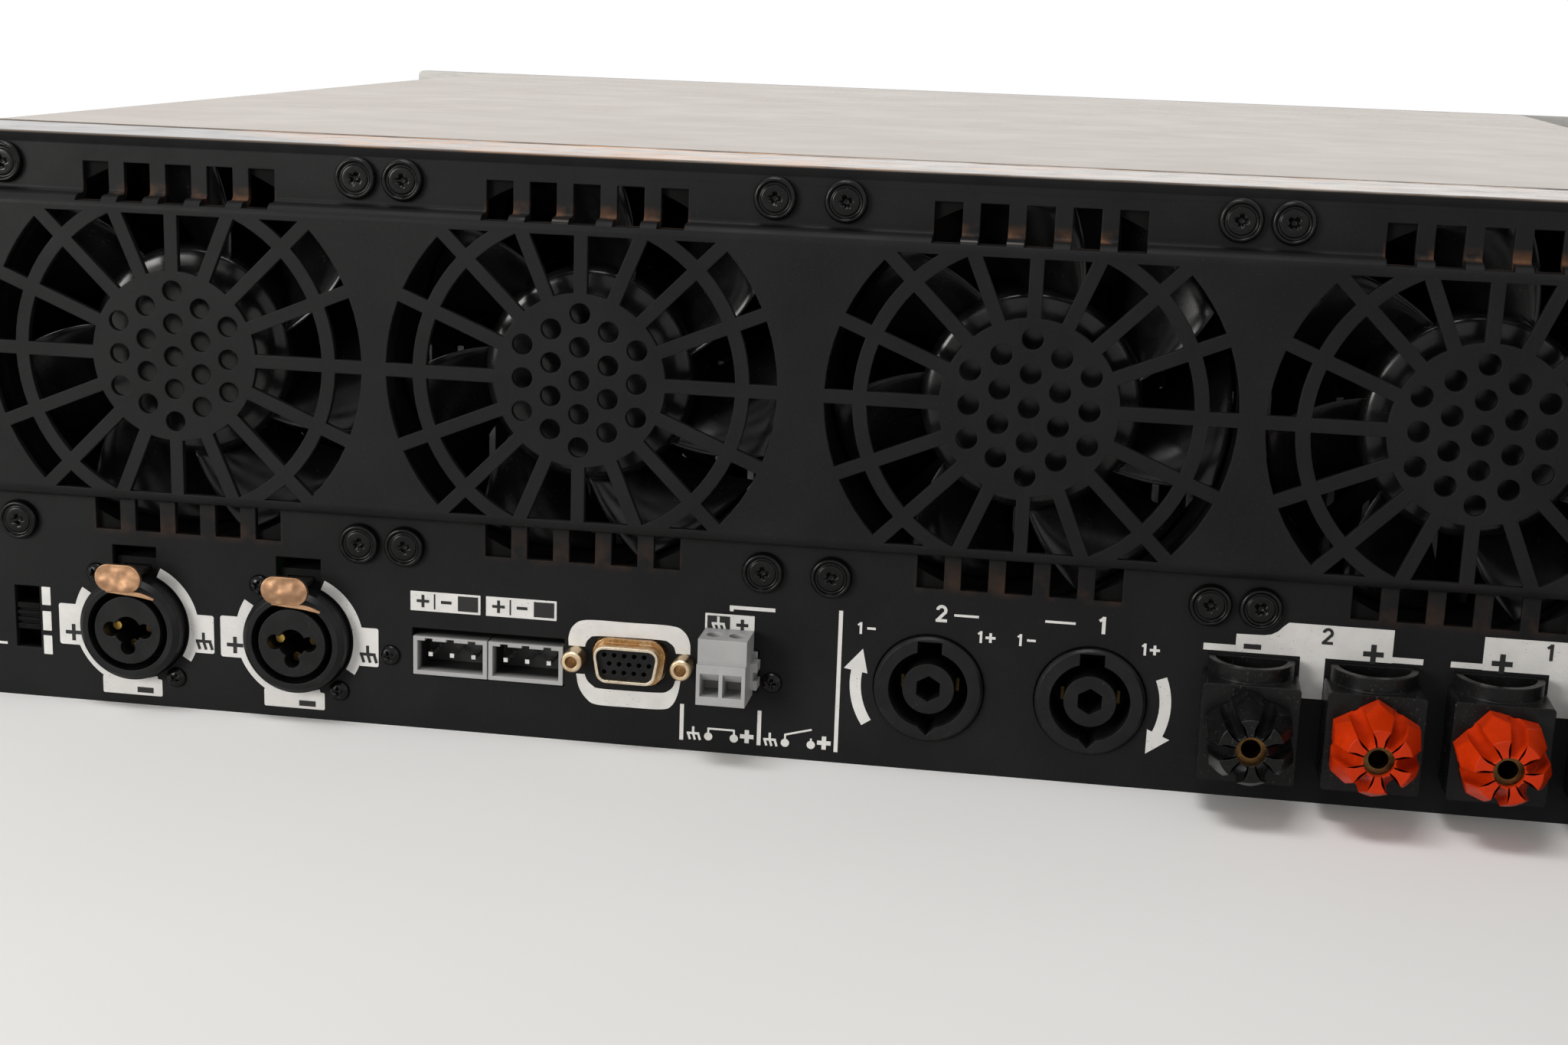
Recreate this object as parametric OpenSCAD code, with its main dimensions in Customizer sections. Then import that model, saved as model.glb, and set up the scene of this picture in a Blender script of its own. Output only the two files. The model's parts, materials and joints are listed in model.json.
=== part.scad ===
// Rack power amplifier, three rack units high, with four fans on its connector side.
// Sizes are millimetres and +Z is up. The connector panel faces +Y, the rack panel faces -Y.
// The origin is the middle of the footprint, on the surface that the amplifier stands on.

/* [Chassis] */
// Width of the body between the rack ears
chassis_w = 426; // [422:1:440]
// Height of the body and of the rack panel
chassis_h = 132.5; // [132:0.5:140]
// Depth from the back of the rack panel to the face of the connector panel
chassis_d = 455; // [440:1:520]
// Thickness of the steel sheet
sheet_t = 1.5; // [1:0.1:1.8]
// Inside radius of the sheet's bends
bend_r = 1; // [0.4:0.1:1]
// Depth of the connector panel's top flange, up to the cover's seam
flange_d = 34; // [25:1:45]
// Open width of the cover's seam
seam_gap = 0.8; // [0.4:0.1:1.5]
// Height of the cover's side lips
cover_lip = 15; // [12:1:20]
// Cover screws on each side
cover_screw_count = 5; // [3:1:8]
// Distance from the cover's ends to its first and last screws
cover_screw_inset = 25; // [20:1:40]
// Distance from the cover's top to its screws
cover_screw_drop = 8; // [7:0.5:8]
// Radius of the cover screws' heads
cover_screw_r = 3.6; // [3:0.1:4]
// Height of the cover screws' heads
cover_head_h = 1.8; // [1.4:0.1:2.2]
// Length of the cover screws' shanks
cover_screw_len = 7; // [6:0.5:9]

/* [Fits] */
// Clearance between a piece and its cut-out, socket or guide
fit_gap = 0.3; // [0.2:0.05:0.4]
// Radial clearance of a turning shaft in its bearing
run_gap = 0.05; // [0.02:0.01:0.08]
// Radial clearance of a screw in its tapped hole
tap_gap = 0.1; // [0.05:0.01:0.15]

/* [Fan wall] */
// Offset of the fan row and the connectors from the middle of the chassis, seen from behind
row_x = -7.3; // [-9:0.1:0]
// Height of the fans' axes
fan_z = 84.25; // [84:0.25:85]
// Distance between the axes of the two fans of a pair
fan_pitch = 93.2; // [92.6:0.2:94]
// Distance between the axes of the two middle fans
fan_middle_pitch = 97.8; // [94:0.2:100]
// How far the raised fan plate stands out
bulge_out = 5; // [4.5:0.5:8]
// Height of the raised plate's lower edge
bulge_low = 50; // [49:0.2:51]
// Height of the raised plate's upper edge
bulge_high = 119.4; // [118:0.2:120]
// Width of an air slot
slot_w = 6; // [5:0.1:6.6]
// Distance between air slots
slot_pitch = 9.7; // [9:0.1:10.5]
// Air slots above and below each fan
slot_count = 5; // [3:2:5]
// Distance from the fan's axis to the near end of a slot
slot_near = 33.8; // [33:0.1:34.2]
// Distance from the fan's axis to the far end of a slot
slot_far = 42.2; // [41:0.1:42.6]

/* [Grille] */
// Spokes around the grille
spokes = 16; // [12:2:20]
// Width of a spoke
spoke_w = 3; // [2.4:0.1:3.6]
// Radius of the grille's hub disc
hub_disc_r = 19.2; // [18:0.1:21]
// Inner radius of the grille's ring
ring_in_r = 34.6; // [33:0.1:35]
// Outer radius of the grille's ring
ring_out_r = 37.7; // [37:0.1:39]
// Radius that the openings reach at the sides
open_r = 43.8; // [42:0.1:44]
// Distance from the axis to the straight top and bottom of the openings
open_half_h = 31.6; // [30:0.1:32]
// Radius of the holes in the hub disc
hub_hole_r = 2.3; // [1.8:0.1:2.6]
// Distance between the holes in the hub disc
hub_hole_pitch = 7.39; // [6.8:0.01:7.6]
// Holes across the middle of the hub disc
hub_holes = 5; // [3:2:5]

/* [Fans] */
// Side of the square fan frame
fan_size = 92; // [90:0.5:92]
// Thickness of the fan
fan_t = 25.4; // [25:0.1:28]
// Corner radius of the fan frame
fan_corner_r = 4; // [2:0.5:5]
// Thickness of the frame's flanges
fan_flange_t = 4; // [3:0.5:6]
// Radius of the fan's duct
duct_r = 44; // [43:0.1:44.5]
// Wall of the fan's duct
duct_wall = 1.8; // [1.2:0.1:1.8]
// Thickness of the motor plate and its struts
motor_plate_t = 3; // [2:0.5:3.5]
// Struts that carry the motor plate
struts = 4; // [3:1:6]
// Width of a strut
strut_w = 4; // [3:0.5:6]
// Length of the bearing tube
bearing_len = 14; // [10:0.5:15]
// Wall of the bearing tube
bearing_wall = 2.5; // [1.5:0.5:3]
// Thickness of the bearing's closed end
bearing_floor = 1.5; // [1:0.1:2]
// Radius of the rotor's hub
rotor_hub_r = 24; // [20:0.5:26]
// Wall of the rotor's hub
rotor_wall = 2; // [1.5:0.1:3]
// Rounding of the hub's front edge
rotor_edge_r = 3; // [1.5:0.5:4]
// Radius of the rotor's shaft
rotor_shaft_r = 1.5; // [1.2:0.1:2]
// Gap between the panel and the rotor's front
rotor_front_gap = 2; // [1:0.5:3]
// Gap between the motor plate and the rotor's back
rotor_back_gap = 2; // [1:0.5:3]
// Gap between blade tips and duct
tip_gap = 0.8; // [0.6:0.1:1.2]
// Blades on a rotor
blades = 7; // [5:1:9]
// Angle that a blade winds through
blade_twist = 38; // [30:1:44]
// Angle by which a blade's tip leads its root
blade_sweep = 16; // [0:1:20]
// Width of a blade's root, measured round the axis
blade_root_w = 2.2; // [1.6:0.1:3]
// Width of a blade's tip, measured round the axis
blade_tip_w = 3; // [2:0.1:4]
// Distance from the hub's ends to the blades' edges
blade_inset = 1; // [0.5:0.1:2]
// Distance between the fan's screws
fan_screw_pitch = 82.5; // [82:0.1:83]
// Radius of the fan screws' shanks
fan_screw_r = 2; // [1.8:0.1:2.1]
// Radius of the fan screws' heads
fan_head_r = 4.75; // [4.2:0.05:5]
// Height of the fan screws' rims
fan_rim_h = 1.6; // [1.2:0.1:1.8]
// Bevel of the fan screws' rims
fan_rim_edge = 0.5; // [0.3:0.05:0.6]
// Height of the raised middle of a fan screw
fan_head_h = 1.95; // [1.85:0.05:2.6]
// Radius of the raised middle of a fan screw
fan_disc_r = 2.9; // [2.6:0.1:3]
// Depth of the groove round the raised middle
fan_groove = 0.35; // [0.2:0.05:0.5]

/* [Input sockets] */
// Place of the point between the two input sockets along the panel
jack_mid_x = -135.5; // [-137:0.1:-134]
// Distance between the two input sockets
jack_pitch = 39.8; // [38:0.1:42]
// Height of the input sockets' axes
jack_z = 19.4; // [19:0.1:21]
// Radius of an input socket's shell
jack_r = 12.2; // [12:0.1:12.6]
// How far the shell stands out of the panel
jack_out = 5; // [3:0.5:6]
// Bevel of the shell's edge
jack_edge = 1.2; // [0.6:0.1:1.6]
// Inner radius of the shell's rim
jack_rim_r = 9.7; // [9.4:0.1:10]
// Radius of the round core
jack_core_r = 8; // [7.6:0.1:8.2]
// Depth of the ring-shaped space round the core
jack_space_d = 12; // [10:0.5:13]
// Radius of the hole for a jack plug
jack_hole_r = 3.3; // [3.2:0.05:3.5]
// Depth of the hole for a jack plug
jack_hole_d = 15; // [13.5:0.5:20]
// Distance from the axis to the contact holes
contact_ring_r = 4.1; // [3.9:0.1:4.3]
// Radius of a contact hole
contact_hole_r = 1.8; // [1.6:0.1:1.9]
// Radius of a contact
contact_r = 1.1; // [0.9:0.1:1.3]
// Distance from the core's face to the contacts
contact_in = 3.5; // [2:0.5:5]
// Width of the flange behind the panel
jack_flange_w = 26; // [25:0.5:27]
// Distance from the axis to the flange's lower edge
jack_flange_low = 15.5; // [15:0.1:16]
// Thickness of the flange
jack_flange_t = 2.5; // [2:0.1:3]
// Distance across between the flange's two screws
flange_screw_w = 19; // [18.8:0.1:19.4]
// Distance up between the flange's two screws
flange_screw_h = 24; // [23.8:0.1:24.4]
// Width of the latch's push plate
latch_w = 11; // [10:0.5:12]
// Height of the latch's push plate
latch_h = 6.4; // [6:0.1:7]
// Thickness of the latch's push plate
latch_t = 0.9; // [0.6:0.1:1.2]
// Travel of the latch
latch_travel = 2.5; // [2:0.1:2.8]
// Gap that stays between the pushed plate and the shell
latch_rest = 0.9; // [0.4:0.1:1.2]
// Width of the latch's stem
stem_w = 6; // [5:0.5:7]
// Thickness of the latch's stem
stem_t = 1; // [0.8:0.1:1.1]
// Distance from the shell to the middle of the stem
stem_rise = 1.3; // [1.2:0.05:1.5]
// Length of the stem's guide
guide_d = 8; // [6:0.5:10]
// Wall of the stem's guide
guide_wall = 1.7; // [1.2:0.1:2]
// Height of the latch's notch above the shell
notch_h = 6.8; // [6:0.1:7]

/* [Small connectors] */
// Radius of the small panel screws' shanks
small_screw_r = 1.35; // [1.2:0.05:1.45]
// Length of the small panel screws' shanks
small_screw_len = 4; // [3.5:0.5:5]
// Radius of the small panel screws' heads
small_head_r = 2.4; // [2.2:0.1:2.5]
// Height of the small panel screws' heads
small_head_h = 1.5; // [1.2:0.1:1.8]
// Place of the mode switch along the panel
mode_x = -182.4; // [-184:0.1:-181]
// Width of the mode switch's window
mode_w = 6.2; // [5.5:0.1:7]
// Height of the mode switch's window
mode_h = 15; // [14:0.5:18]
// Depth of the mode switch's well
mode_d = 6; // [5:0.5:8]
// Wall of the mode switch's body
mode_wall = 2; // [1.5:0.5:3]
// Travel of the mode switch each way
mode_travel = 4; // [3:0.1:4.2]
// Distance from the panel's face to the switch's handle
mode_in = 0.4; // [0.2:0.1:0.8]
// Distance between the grip grooves of the handle
grip_pitch = 1.6; // [1.4:0.1:1.8]
// Width and depth of a grip groove
grip_w = 0.7; // [0.5:0.1:0.8]
// Place of the point between the two pin headers
header_mid_x = -70.6; // [-71.5:0.1:-70]
// Height of the header pins
header_z = 17.55; // [17:0.05:18.5]
// Distance between header pins
pin_pitch = 5.08; // [5:0.01:5.1]
// Pins in a header
pin_count = 3; // [2:1:3]
// Width of a pin
pin_w = 1; // [0.8:0.1:1.2]
// Distance from the panel's face to the pins' tips
pin_in = 1.2; // [0.5:0.1:3]
// Height of a header's body
header_h = 9.1; // [8.6:0.1:9.4]
// Wall of a header's body
header_wall = 1; // [0.8:0.1:1.2]
// Depth of a header's well
header_d = 9; // [8.8:0.1:12]
// How far a header stands out of the panel
header_out = 0.3; // [0.1:0.1:1]
// Width of a keyway over a pin
keyway_w = 1.8; // [1.4:0.1:2.2]
// Depth of a keyway in the header's wall
keyway_d = 0.6; // [0.4:0.1:0.7]
// Open height that the cut-out leaves above the headers
header_slack = 1.6; // [0.5:0.1:2]
// Place of the data socket along the panel
data_x = -37.4; // [-38:0.1:-36.5]
// Height of the data socket's axis
data_z = 20.2; // [19.5:0.1:21]
// Width of the data socket's shell
data_w = 15.6; // [15:0.1:16.2]
// Height of the data socket's shell
data_h = 8.4; // [8:0.1:9]
// Slope of the data socket's sides
data_slope = 1.35; // [1:0.05:1.6]
// Corner radius of the data socket's shell
data_corner_r = 2.4; // [1.8:0.1:2.8]
// Sheet of the data socket's shell
data_wall = 0.6; // [0.4:0.1:0.8]
// How far the shell stands out of the panel
data_out = 5; // [4:0.5:6]
// Border of the step at the shell's foot
data_step = 1; // [0.6:0.1:1.2]
// How far the step stands out of the panel
data_step_out = 1.5; // [0.5:0.1:2]
// Thickness of the flange behind the panel
data_flange_t = 1; // [0.8:0.1:1.5]
// Height of the flange behind the panel
data_flange_h = 12.5; // [12.2:0.1:13]
// Distance from the shell's edge to its insert
data_insert_in = 1.3; // [0.5:0.1:2]
// Distance between the contact holes of a row
data_pitch = 2.29; // [2.2:0.01:2.3]
// Distance between the rows of contact holes
data_row_pitch = 1.98; // [1.9:0.01:2]
// Radius of a contact hole
data_hole_r = 0.55; // [0.4:0.05:0.6]
// Depth of a contact hole
data_hole_d = 6; // [4:0.5:8]
// Distance between the data socket's lock screws
data_screw_pitch = 25; // [24.8:0.1:25.4]
// Radius of a lock screw's head
lock_r = 2.4; // [2.2:0.1:2.6]
// Height of a lock screw's head
lock_h = 5.2; // [4:0.1:6]
// Radius of a lock screw's threaded hole
lock_hole_r = 1.4; // [1.2:0.1:1.5]
// Depth of a lock screw's threaded hole
lock_hole_d = 6.2; // [5:0.1:6.5]
// Radius of a lock screw's shank
lock_shank_r = 1.5; // [1.3:0.05:1.6]
// Length of a lock screw's shank behind the panel
lock_shank_len = 3; // [2:0.5:4]
// Place of the two-pole plug along the panel
plug_x = -14.6; // [-15:0.1:-14]
// Height of the plug's pins
plug_z = 20; // [19.5:0.1:20.5]
// Width of the plug's body
plug_w = 11; // [10.8:0.1:11.6]
// Height of the plug's body
plug_h = 14.8; // [14:0.1:15.4]
// Distance from the pins to the plug's underside
plug_low = 5.4; // [5:0.1:5.6]
// How far the plug stands out of the panel
plug_out = 11; // [9:0.5:13]
// Gap between the panel and the plug's body
plug_gap = 0.6; // [0.4:0.1:1]
// Height of the plug's cap, above the wire funnels
plug_cap_h = 5.6; // [5:0.1:6]
// Distance by which the cap stands back
plug_cap_in = 1.2; // [0.6:0.1:2]
// Length of the plug's nose behind the panel's face
plug_nose = 8.5; // [8:0.1:8.6]
// Width of the two-pole header beyond the plug's body
plug_border = 0.85; // [0.7:0.05:1]
// Travel of the plug until it is free
plug_travel = 8; // [6:0.5:8.5]
// Width of a wire funnel
funnel_w = 4.2; // [3.6:0.1:4.4]
// Height of a wire funnel's mouth
funnel_h = 5.3; // [4.8:0.1:5.6]
// Height of the wire hole at the end of a funnel
wire_hole_h = 3.2; // [2.6:0.1:3.6]
// Depth of the funnel's slope
funnel_d = 2.4; // [1.5:0.1:3]
// Depth of the wire hole
wire_hole_d = 7; // [5:0.5:8]
// Radius of a clamp screw's well
clamp_r = 1.8; // [1.5:0.1:2]
// Depth of a clamp screw's well
clamp_d = 1.75; // [1:0.25:3]
// Width of the slotted ear at the plug's side
ear_w = 1.2; // [0.8:0.1:1.4]
// Height of the slotted ear
ear_h = 6; // [5:0.5:7]
// Thickness of the slotted ear
ear_t = 4; // [3:0.5:5]

/* [Speaker connectors] */
// Place of the point between the two twist-lock sockets
socket_mid_x = 48.1; // [47:0.1:49]
// Distance between the two twist-lock sockets
socket_pitch = 35.6; // [34:0.1:37]
// Height of the twist-lock sockets' axes
socket_z = 19.2; // [18.5:0.1:20]
// Radius of a twist-lock socket
socket_r = 12.1; // [11.8:0.1:12.4]
// How far a twist-lock socket stands out
socket_out = 1.6; // [1:0.1:2.5]
// Bevel of the socket's edge
socket_edge = 0.6; // [0.3:0.1:1]
// Border of the flange behind the panel
socket_flange = 1.5; // [1:0.1:2]
// Thickness of the flange behind the panel
socket_flange_t = 2.5; // [2:0.1:3]
// Radius of the socket's ring-shaped space
socket_space_r = 8.8; // [8.4:0.1:9]
// Depth of the socket's ring-shaped space
socket_space_d = 16; // [14.5:0.5:18]
// Radius of the socket's middle post
socket_post_r = 5.75; // [5.5:0.05:6]
// Distance from the socket's face to its middle post
socket_post_in = 0.8; // [0.4:0.1:2]
// Corner radius of the six-sided hole in the middle post
socket_hole_r = 3; // [2.6:0.1:3.2]
// Depth of the six-sided hole
socket_hole_d = 14; // [10:0.5:15]
// Width of the socket's keyway
key_w = 5.4; // [5:0.1:6]
// Distance from the axis to the end of the keyway
key_r = 11; // [10.8:0.1:11.2]
// Depth of the keyway
key_d = 12; // [10:0.5:13]
// Width of the pointed notch opposite the keyway
notch_w = 3.6; // [2.5:0.1:4]
// Width of a spring contact
spring_w = 3; // [2:0.5:4]
// Thickness of a spring contact
spring_t = 0.8; // [0.5:0.1:1]
// Distance from the socket's face to its spring contacts
spring_in = 6; // [4:0.5:8]
// Place of the first binding post along the panel
post_x = 99.7; // [99:0.1:100.4]
// Distance between binding posts
post_pitch = 25.9; // [25.5:0.1:26.2]
// Height of the binding posts' axes
post_z = 18.2; // [17.8:0.1:18.6]
// Width of a post's block
block_w = 20.4; // [19.5:0.1:20.8]
// Height of a post's block
block_h = 21.6; // [20.5:0.1:22]
// How far a post's block stands out
block_d = 12; // [11:0.1:13]
// Corner radius of a post's block
block_corner_r = 0.8; // [0.4:0.1:1.2]
// Wall of the boss through the panel
boss_wall = 2; // [1.5:0.1:2.5]
// Height of the hood above a block
hood_h = 3.2; // [2.5:0.1:3.6]
// Radius of the hood
hood_r = 9.2; // [8.8:0.1:9.5]
// Distance from the panel to the hood's axis
hood_axis = 1.5; // [1:0.1:2]
// Wall of the hood round the wire pocket
hood_wall = 1.6; // [1.2:0.1:1.8]
// Distance from the panel to the wire pocket
pocket_back = 0.8; // [0.5:0.1:1]
// Distance from the stud to the pocket's floor
pocket_rest = 1.2; // [0.8:0.1:1.6]
// Radius of the brass stud
stud_r = 3.6; // [3.4:0.05:3.8]
// Length of the stud behind its board
stud_tail = 3; // [2:0.5:5]
// Distance from the knob's front to the stud's end
stud_in = 2; // [1.5:0.1:3]
// Radius of the plug hole in the stud
post_bore_r = 2.05; // [2:0.01:2.1]
// Depth of the plug hole in the stud
post_bore_len = 19; // [17:0.5:22]
// Radius of the clamp washer
washer_r = 6.6; // [6:0.1:6.8]
// Thickness of the clamp washer
washer_t = 0.8; // [0.6:0.1:1]
// Corner radius of a knob's six-sided outline
knob_r = 10.2; // [9.6:0.1:10.4]
// Length of a knob
knob_len = 11.2; // [10:0.1:13]
// Length of a knob's straight part
knob_straight = 3.4; // [3:0.1:5]
// Corner radius of a knob's front end
knob_front_r = 4.9; // [4.6:0.1:5.4]
// Radius of the hole in a knob's front
knob_hole_r = 2.9; // [2.6:0.1:3.1]
// Thickness of the rim round that hole
knob_rim = 1.7; // [1.2:0.1:2]
// Width of a flute in a knob
flute_w = 2.2; // [1.8:0.1:2.6]
// Depth of a flute at the knob's back
flute_back = 1.6; // [1:0.1:1.7]
// Depth of a flute at the knob's front
flute_front = 0.9; // [0.6:0.1:1]
// Distance that a knob screws out
knob_travel = 5; // [3:0.5:6]

/* [Mains inlet] */
// Place of the mains inlet along the panel
inlet_x = 204; // [203.5:0.1:205]
// Height of the mains inlet's middle
inlet_z = 24; // [22:0.5:34]
// Width of the inlet's flange
inlet_w = 24; // [23:0.5:25]
// Height of the inlet's flange
inlet_h = 31; // [30:0.5:34]
// Thickness of the inlet's flange
inlet_flange_t = 2.4; // [1.5:0.1:3]
// Border of the flange round the cut-out
inlet_border = 2; // [1.5:0.1:2.4]
// Corner radius of the flange
inlet_corner_r = 2; // [1:0.5:3]
// Depth of the inlet behind the panel
inlet_d = 22; // [20:0.5:26]
// Width of the inlet's recess
recess_w = 16; // [15.5:0.1:16.4]
// Height of the inlet's recess
recess_h = 24; // [23.5:0.1:24.5]
// Depth of the inlet's recess behind the panel's face
recess_d = 15; // [14:0.5:18]
// Cut corners of the recess
recess_cut = 3; // [2:0.5:4]
// Width of an inlet blade
blade_w = 4; // [3.5:0.1:4.5]
// Thickness of an inlet blade
blade_t = 2; // [1.8:0.1:2.2]
// Distance from the inlet's middle to the rows of blades
blade_row = 2; // [1.6:0.1:2.2]
// Distance between the two outer blades
blade_pitch = 14; // [13.5:0.1:14.2]
// Distance from the panel's face to the blades
blade_in = 4; // [3:0.5:6]

/* [Rack panel] */
// Width of the rack panel over its ears
rack_w = 482.6; // [482:0.1:483]
// Thickness of the rack panel
rack_t = 3; // [2.5:0.5:5]
// Corner radius of the rack panel
rack_corner_r = 2; // [1:0.5:4]
// Distance between the rack slots across the panel
rack_slot_x = 465.1; // [464.5:0.1:465.5]
// Distance between the rack slots up the panel
rack_slot_z = 57.15; // [57:0.05:57.3]
// Height of a rack slot
rack_slot_h = 6.8; // [6.5:0.1:7]
// Length of a rack slot
rack_slot_len = 10.3; // [9:0.1:11]
// Distance between the handles
handle_x = 428; // [424:1:432]
// Distance between a handle's legs
handle_len = 96; // [80:1:100]
// Distance that a handle stands out
handle_out = 36; // [32:1:45]
// Radius of a handle's bar
handle_r = 5; // [4:0.5:5.5]
// Radius of a handle's bends, at the bar's middle
handle_bend_r = 11; // [9:0.5:14]
// Width of a vent slot
vent_w = 4; // [3:0.5:5]
// Height of a vent slot
vent_h = 42; // [30:1:46]
// Distance between vent slots
vent_pitch = 8; // [7:0.5:10]
// Vent slots in a row
vent_count = 16; // [8:1:17]
// Distance between the two rows of vent slots
vent_gap = 8; // [6:0.5:10]
// Distance from the body's side to the first vent slot
vent_inset = 18; // [16:1:22]
// Distance between the two gain knobs
gain_pitch = 56; // [50:1:60]
// Height of the gain knobs' axes
gain_z = 92; // [88:1:98]
// Radius of a gain knob
gain_r = 11; // [9:0.5:12]
// Length of a gain knob
gain_len = 16; // [12:0.5:20]
// Height of a gain knob's skirt
gain_skirt_h = 3; // [2:0.5:4]
// Slope of a gain knob's side
gain_taper = 1; // [0.5:0.1:1.4]
// Bevel of a gain knob's edges
gain_edge = 1; // [0.6:0.1:1.4]
// Grip grooves round a gain knob
gain_grips = 18; // [12:2:24]
// Radius of a grip groove
gain_grip_r = 1; // [0.8:0.1:1.2]
// Width of a gain knob's pointer groove
pointer_w = 1.2; // [0.8:0.1:1.6]
// Depth of a gain knob's pointer groove
pointer_d = 0.6; // [0.4:0.1:0.8]
// Gap between the rack panel and a gain knob
gain_gap = 0.6; // [0.4:0.1:1]
// Radius of a gain control's shaft
gain_shaft_r = 3; // [2.5:0.1:3.2]
// Radius of a gain control's bush
gain_bush_r = 4.5; // [4:0.1:5]
// How far the bush stands out of the panel
gain_bush_out = 2.2; // [1.5:0.1:2.5]
// Radius of a gain control's body
gain_body_r = 8; // [7:0.5:10]
// Depth of a gain control's body
gain_body_d = 10; // [8:0.5:14]
// Height of the power switch's middle
rocker_z = 38; // [34:1:44]
// Width of the power switch's paddle
rocker_w = 13; // [11:0.5:15]
// Height of the power switch's paddle
rocker_h = 24; // [21:0.5:27]
// Tilt of the paddle to each side
rocker_tilt = 7; // [5:0.5:8]
// Depth of the paddle's pivot behind the panel's face
rocker_pivot = 6; // [5.5:0.5:7]
// Radius of the paddle's pivot hole
pivot_r = 1.5; // [1.2:0.1:1.8]
// Distance from the pivot to the raised ends of the paddle
rocker_rise = 10.5; // [10:0.1:11]
// Depth of the paddle's hollow front
rocker_hollow = 1.9; // [1:0.1:2.5]
// Wall of the power switch's frame
rocker_wall = 2; // [1.8:0.1:2.5]
// Border of the frame in front of the panel
rocker_border = 2.5; // [1.5:0.1:4]
// Thickness of the frame in front of the panel
rocker_rim_t = 2; // [1.5:0.1:2.5]
// Depth of the power switch behind the panel
rocker_d = 14; // [13:0.5:18]
// Indicator lights in each row
light_count = 5; // [3:1:5]
// Distance between the two rows of indicator lights
light_row_pitch = 14; // [10:0.5:18]
// Height of the lowest indicator lights
light_z = 76; // [74:0.5:78]
// Distance between indicator lights
light_pitch = 8; // [6:0.5:9]
// Radius of an indicator light
light_r = 1.5; // [1.2:0.1:2]
// Border of the light's collar behind the panel
light_collar = 0.6; // [0.4:0.1:1]

/* [Inside] */
// Height of the boards' undersides above the floor
standoff_h = 10; // [6:0.5:14]
// Radius of a standoff
standoff_r = 3; // [2.5:0.5:4]
// Distance from a board's edge to its standoffs
standoff_inset = 8; // [6:0.5:12]
// Thickness of the circuit boards
board_t = 1.6; // [1.2:0.1:2]
// Depth from the panel's inner face to the connector boards
board_back = 21; // [20:0.5:24]
// Height of the connector boards
connector_board_h = 31; // [30:0.5:34]
// Height of the connector boards' lower edge
connector_board_z = 4.5; // [3.5:0.1:5]
// Width of an amplifier board
amp_w = 180; // [170:1:184]
// Distance between the middles of the amplifier boards
amp_pitch = 200; // [196:1:204]
// Distance from the connector panel to the amplifier boards
amp_back = 60; // [50:1:70]
// Height of the heat sinks
sink_h = 66; // [50:1:72]
// Length of the heat sinks
sink_len = 190; // [150:5:200]
// Width of the heat sinks
sink_w = 160; // [140:1:166]
// Thickness of the heat sinks' base
sink_base_t = 6; // [4:0.5:8]
// Fins on a heat sink
sink_fins = 20; // [12:1:24]
// Thickness of a fin
sink_fin_t = 1.6; // [1.2:0.1:2]
// Distance from an amplifier board's ends to the heat sink
sink_inset = 5; // [3:0.5:8]
// Gap between the amplifier boards and the supply board
supply_gap = 14; // [10:1:20]
// Distance from the rack panel to the supply board
supply_inset = 18; // [16:1:24]
// Width of the supply board
supply_w = 262; // [250:1:266]
// Distance of the supply board's middle from the middle of the chassis
supply_x = 65; // [63:1:70]
// Radius of a capacitor
capacitor_r = 15; // [12:0.5:17]
// Height of a capacitor
capacitor_h = 47.5; // [35:0.5:60]
// Bevel of a capacitor's edge
capacitor_edge = 1.5; // [1:0.1:2]
// Gap between capacitors
capacitor_gap = 4; // [2:0.5:6]
// Capacitors in a row
capacitor_count = 5; // [3:1:6]
// Distance from the supply board's edges to the capacitors
capacitor_inset = 9; // [6:0.5:12]
// Outer radius of the transformer
transformer_r = 48; // [40:1:52]
// Radial thickness of the transformer's ring
transformer_w = 32; // [24:1:34]
// Height of the transformer
transformer_h = 44; // [36:1:60]
// Rounding of the transformer's edges
transformer_edge_r = 6; // [4:0.5:8]
// Distance of the transformer from the middle of the chassis
transformer_x = 140; // [136:1:146]

/* [Hidden] */
$fn = 48;
// Distance that a cut runs past the faces it opens, and that joined shapes share
eps = sheet_t / 2;
// Steps in the arc of a sheet bend
bend_steps = 6;
// Steps along a blade's outline, and along its twist
blade_steps = 4;
twist_steps = 5;
// Turn of each binding knob as it was left, in degrees
knob_turns = [12, 0, -8, 20];

// Overall places along Y
knob_back = block_d + fit_gap;
knob_front = knob_back + knob_len;
total_d = knob_front + chassis_d + rack_t + handle_out;
rear_y = total_d / 2 - knob_front;
front_y = handle_out - total_d / 2;
tray_front_y = front_y + rack_t;
tray_back_y = rear_y - sheet_t;
cover_back_y = rear_y - flange_d - seam_gap;
// Outer face of the tray's sides
side_x = chassis_w / 2 - sheet_t - fit_gap;
cover_screw_z = chassis_h - cover_screw_drop;
cover_screw_ys = [
  for (i = [0:cover_screw_count - 1])
    tray_front_y + cover_screw_inset
      + i * (cover_back_y - tray_front_y - 2 * cover_screw_inset) / (cover_screw_count - 1)
];

// Places along the connector panel
fan_xs = [
  -fan_middle_pitch / 2 - fan_pitch,
  -fan_middle_pitch / 2,
  fan_middle_pitch / 2,
  fan_middle_pitch / 2 + fan_pitch
];
jack_xs = [jack_mid_x - jack_pitch / 2, jack_mid_x + jack_pitch / 2];
socket_xs = [socket_mid_x - socket_pitch / 2, socket_mid_x + socket_pitch / 2];
header_pitch = (pin_count + 0.5) * pin_pitch;
header_xs = [header_mid_x - header_pitch / 2, header_mid_x + header_pitch / 2];
header_w = header_pitch - fit_gap;
post_xs = [for (i = [0:3]) post_x + i * post_pitch];
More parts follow.
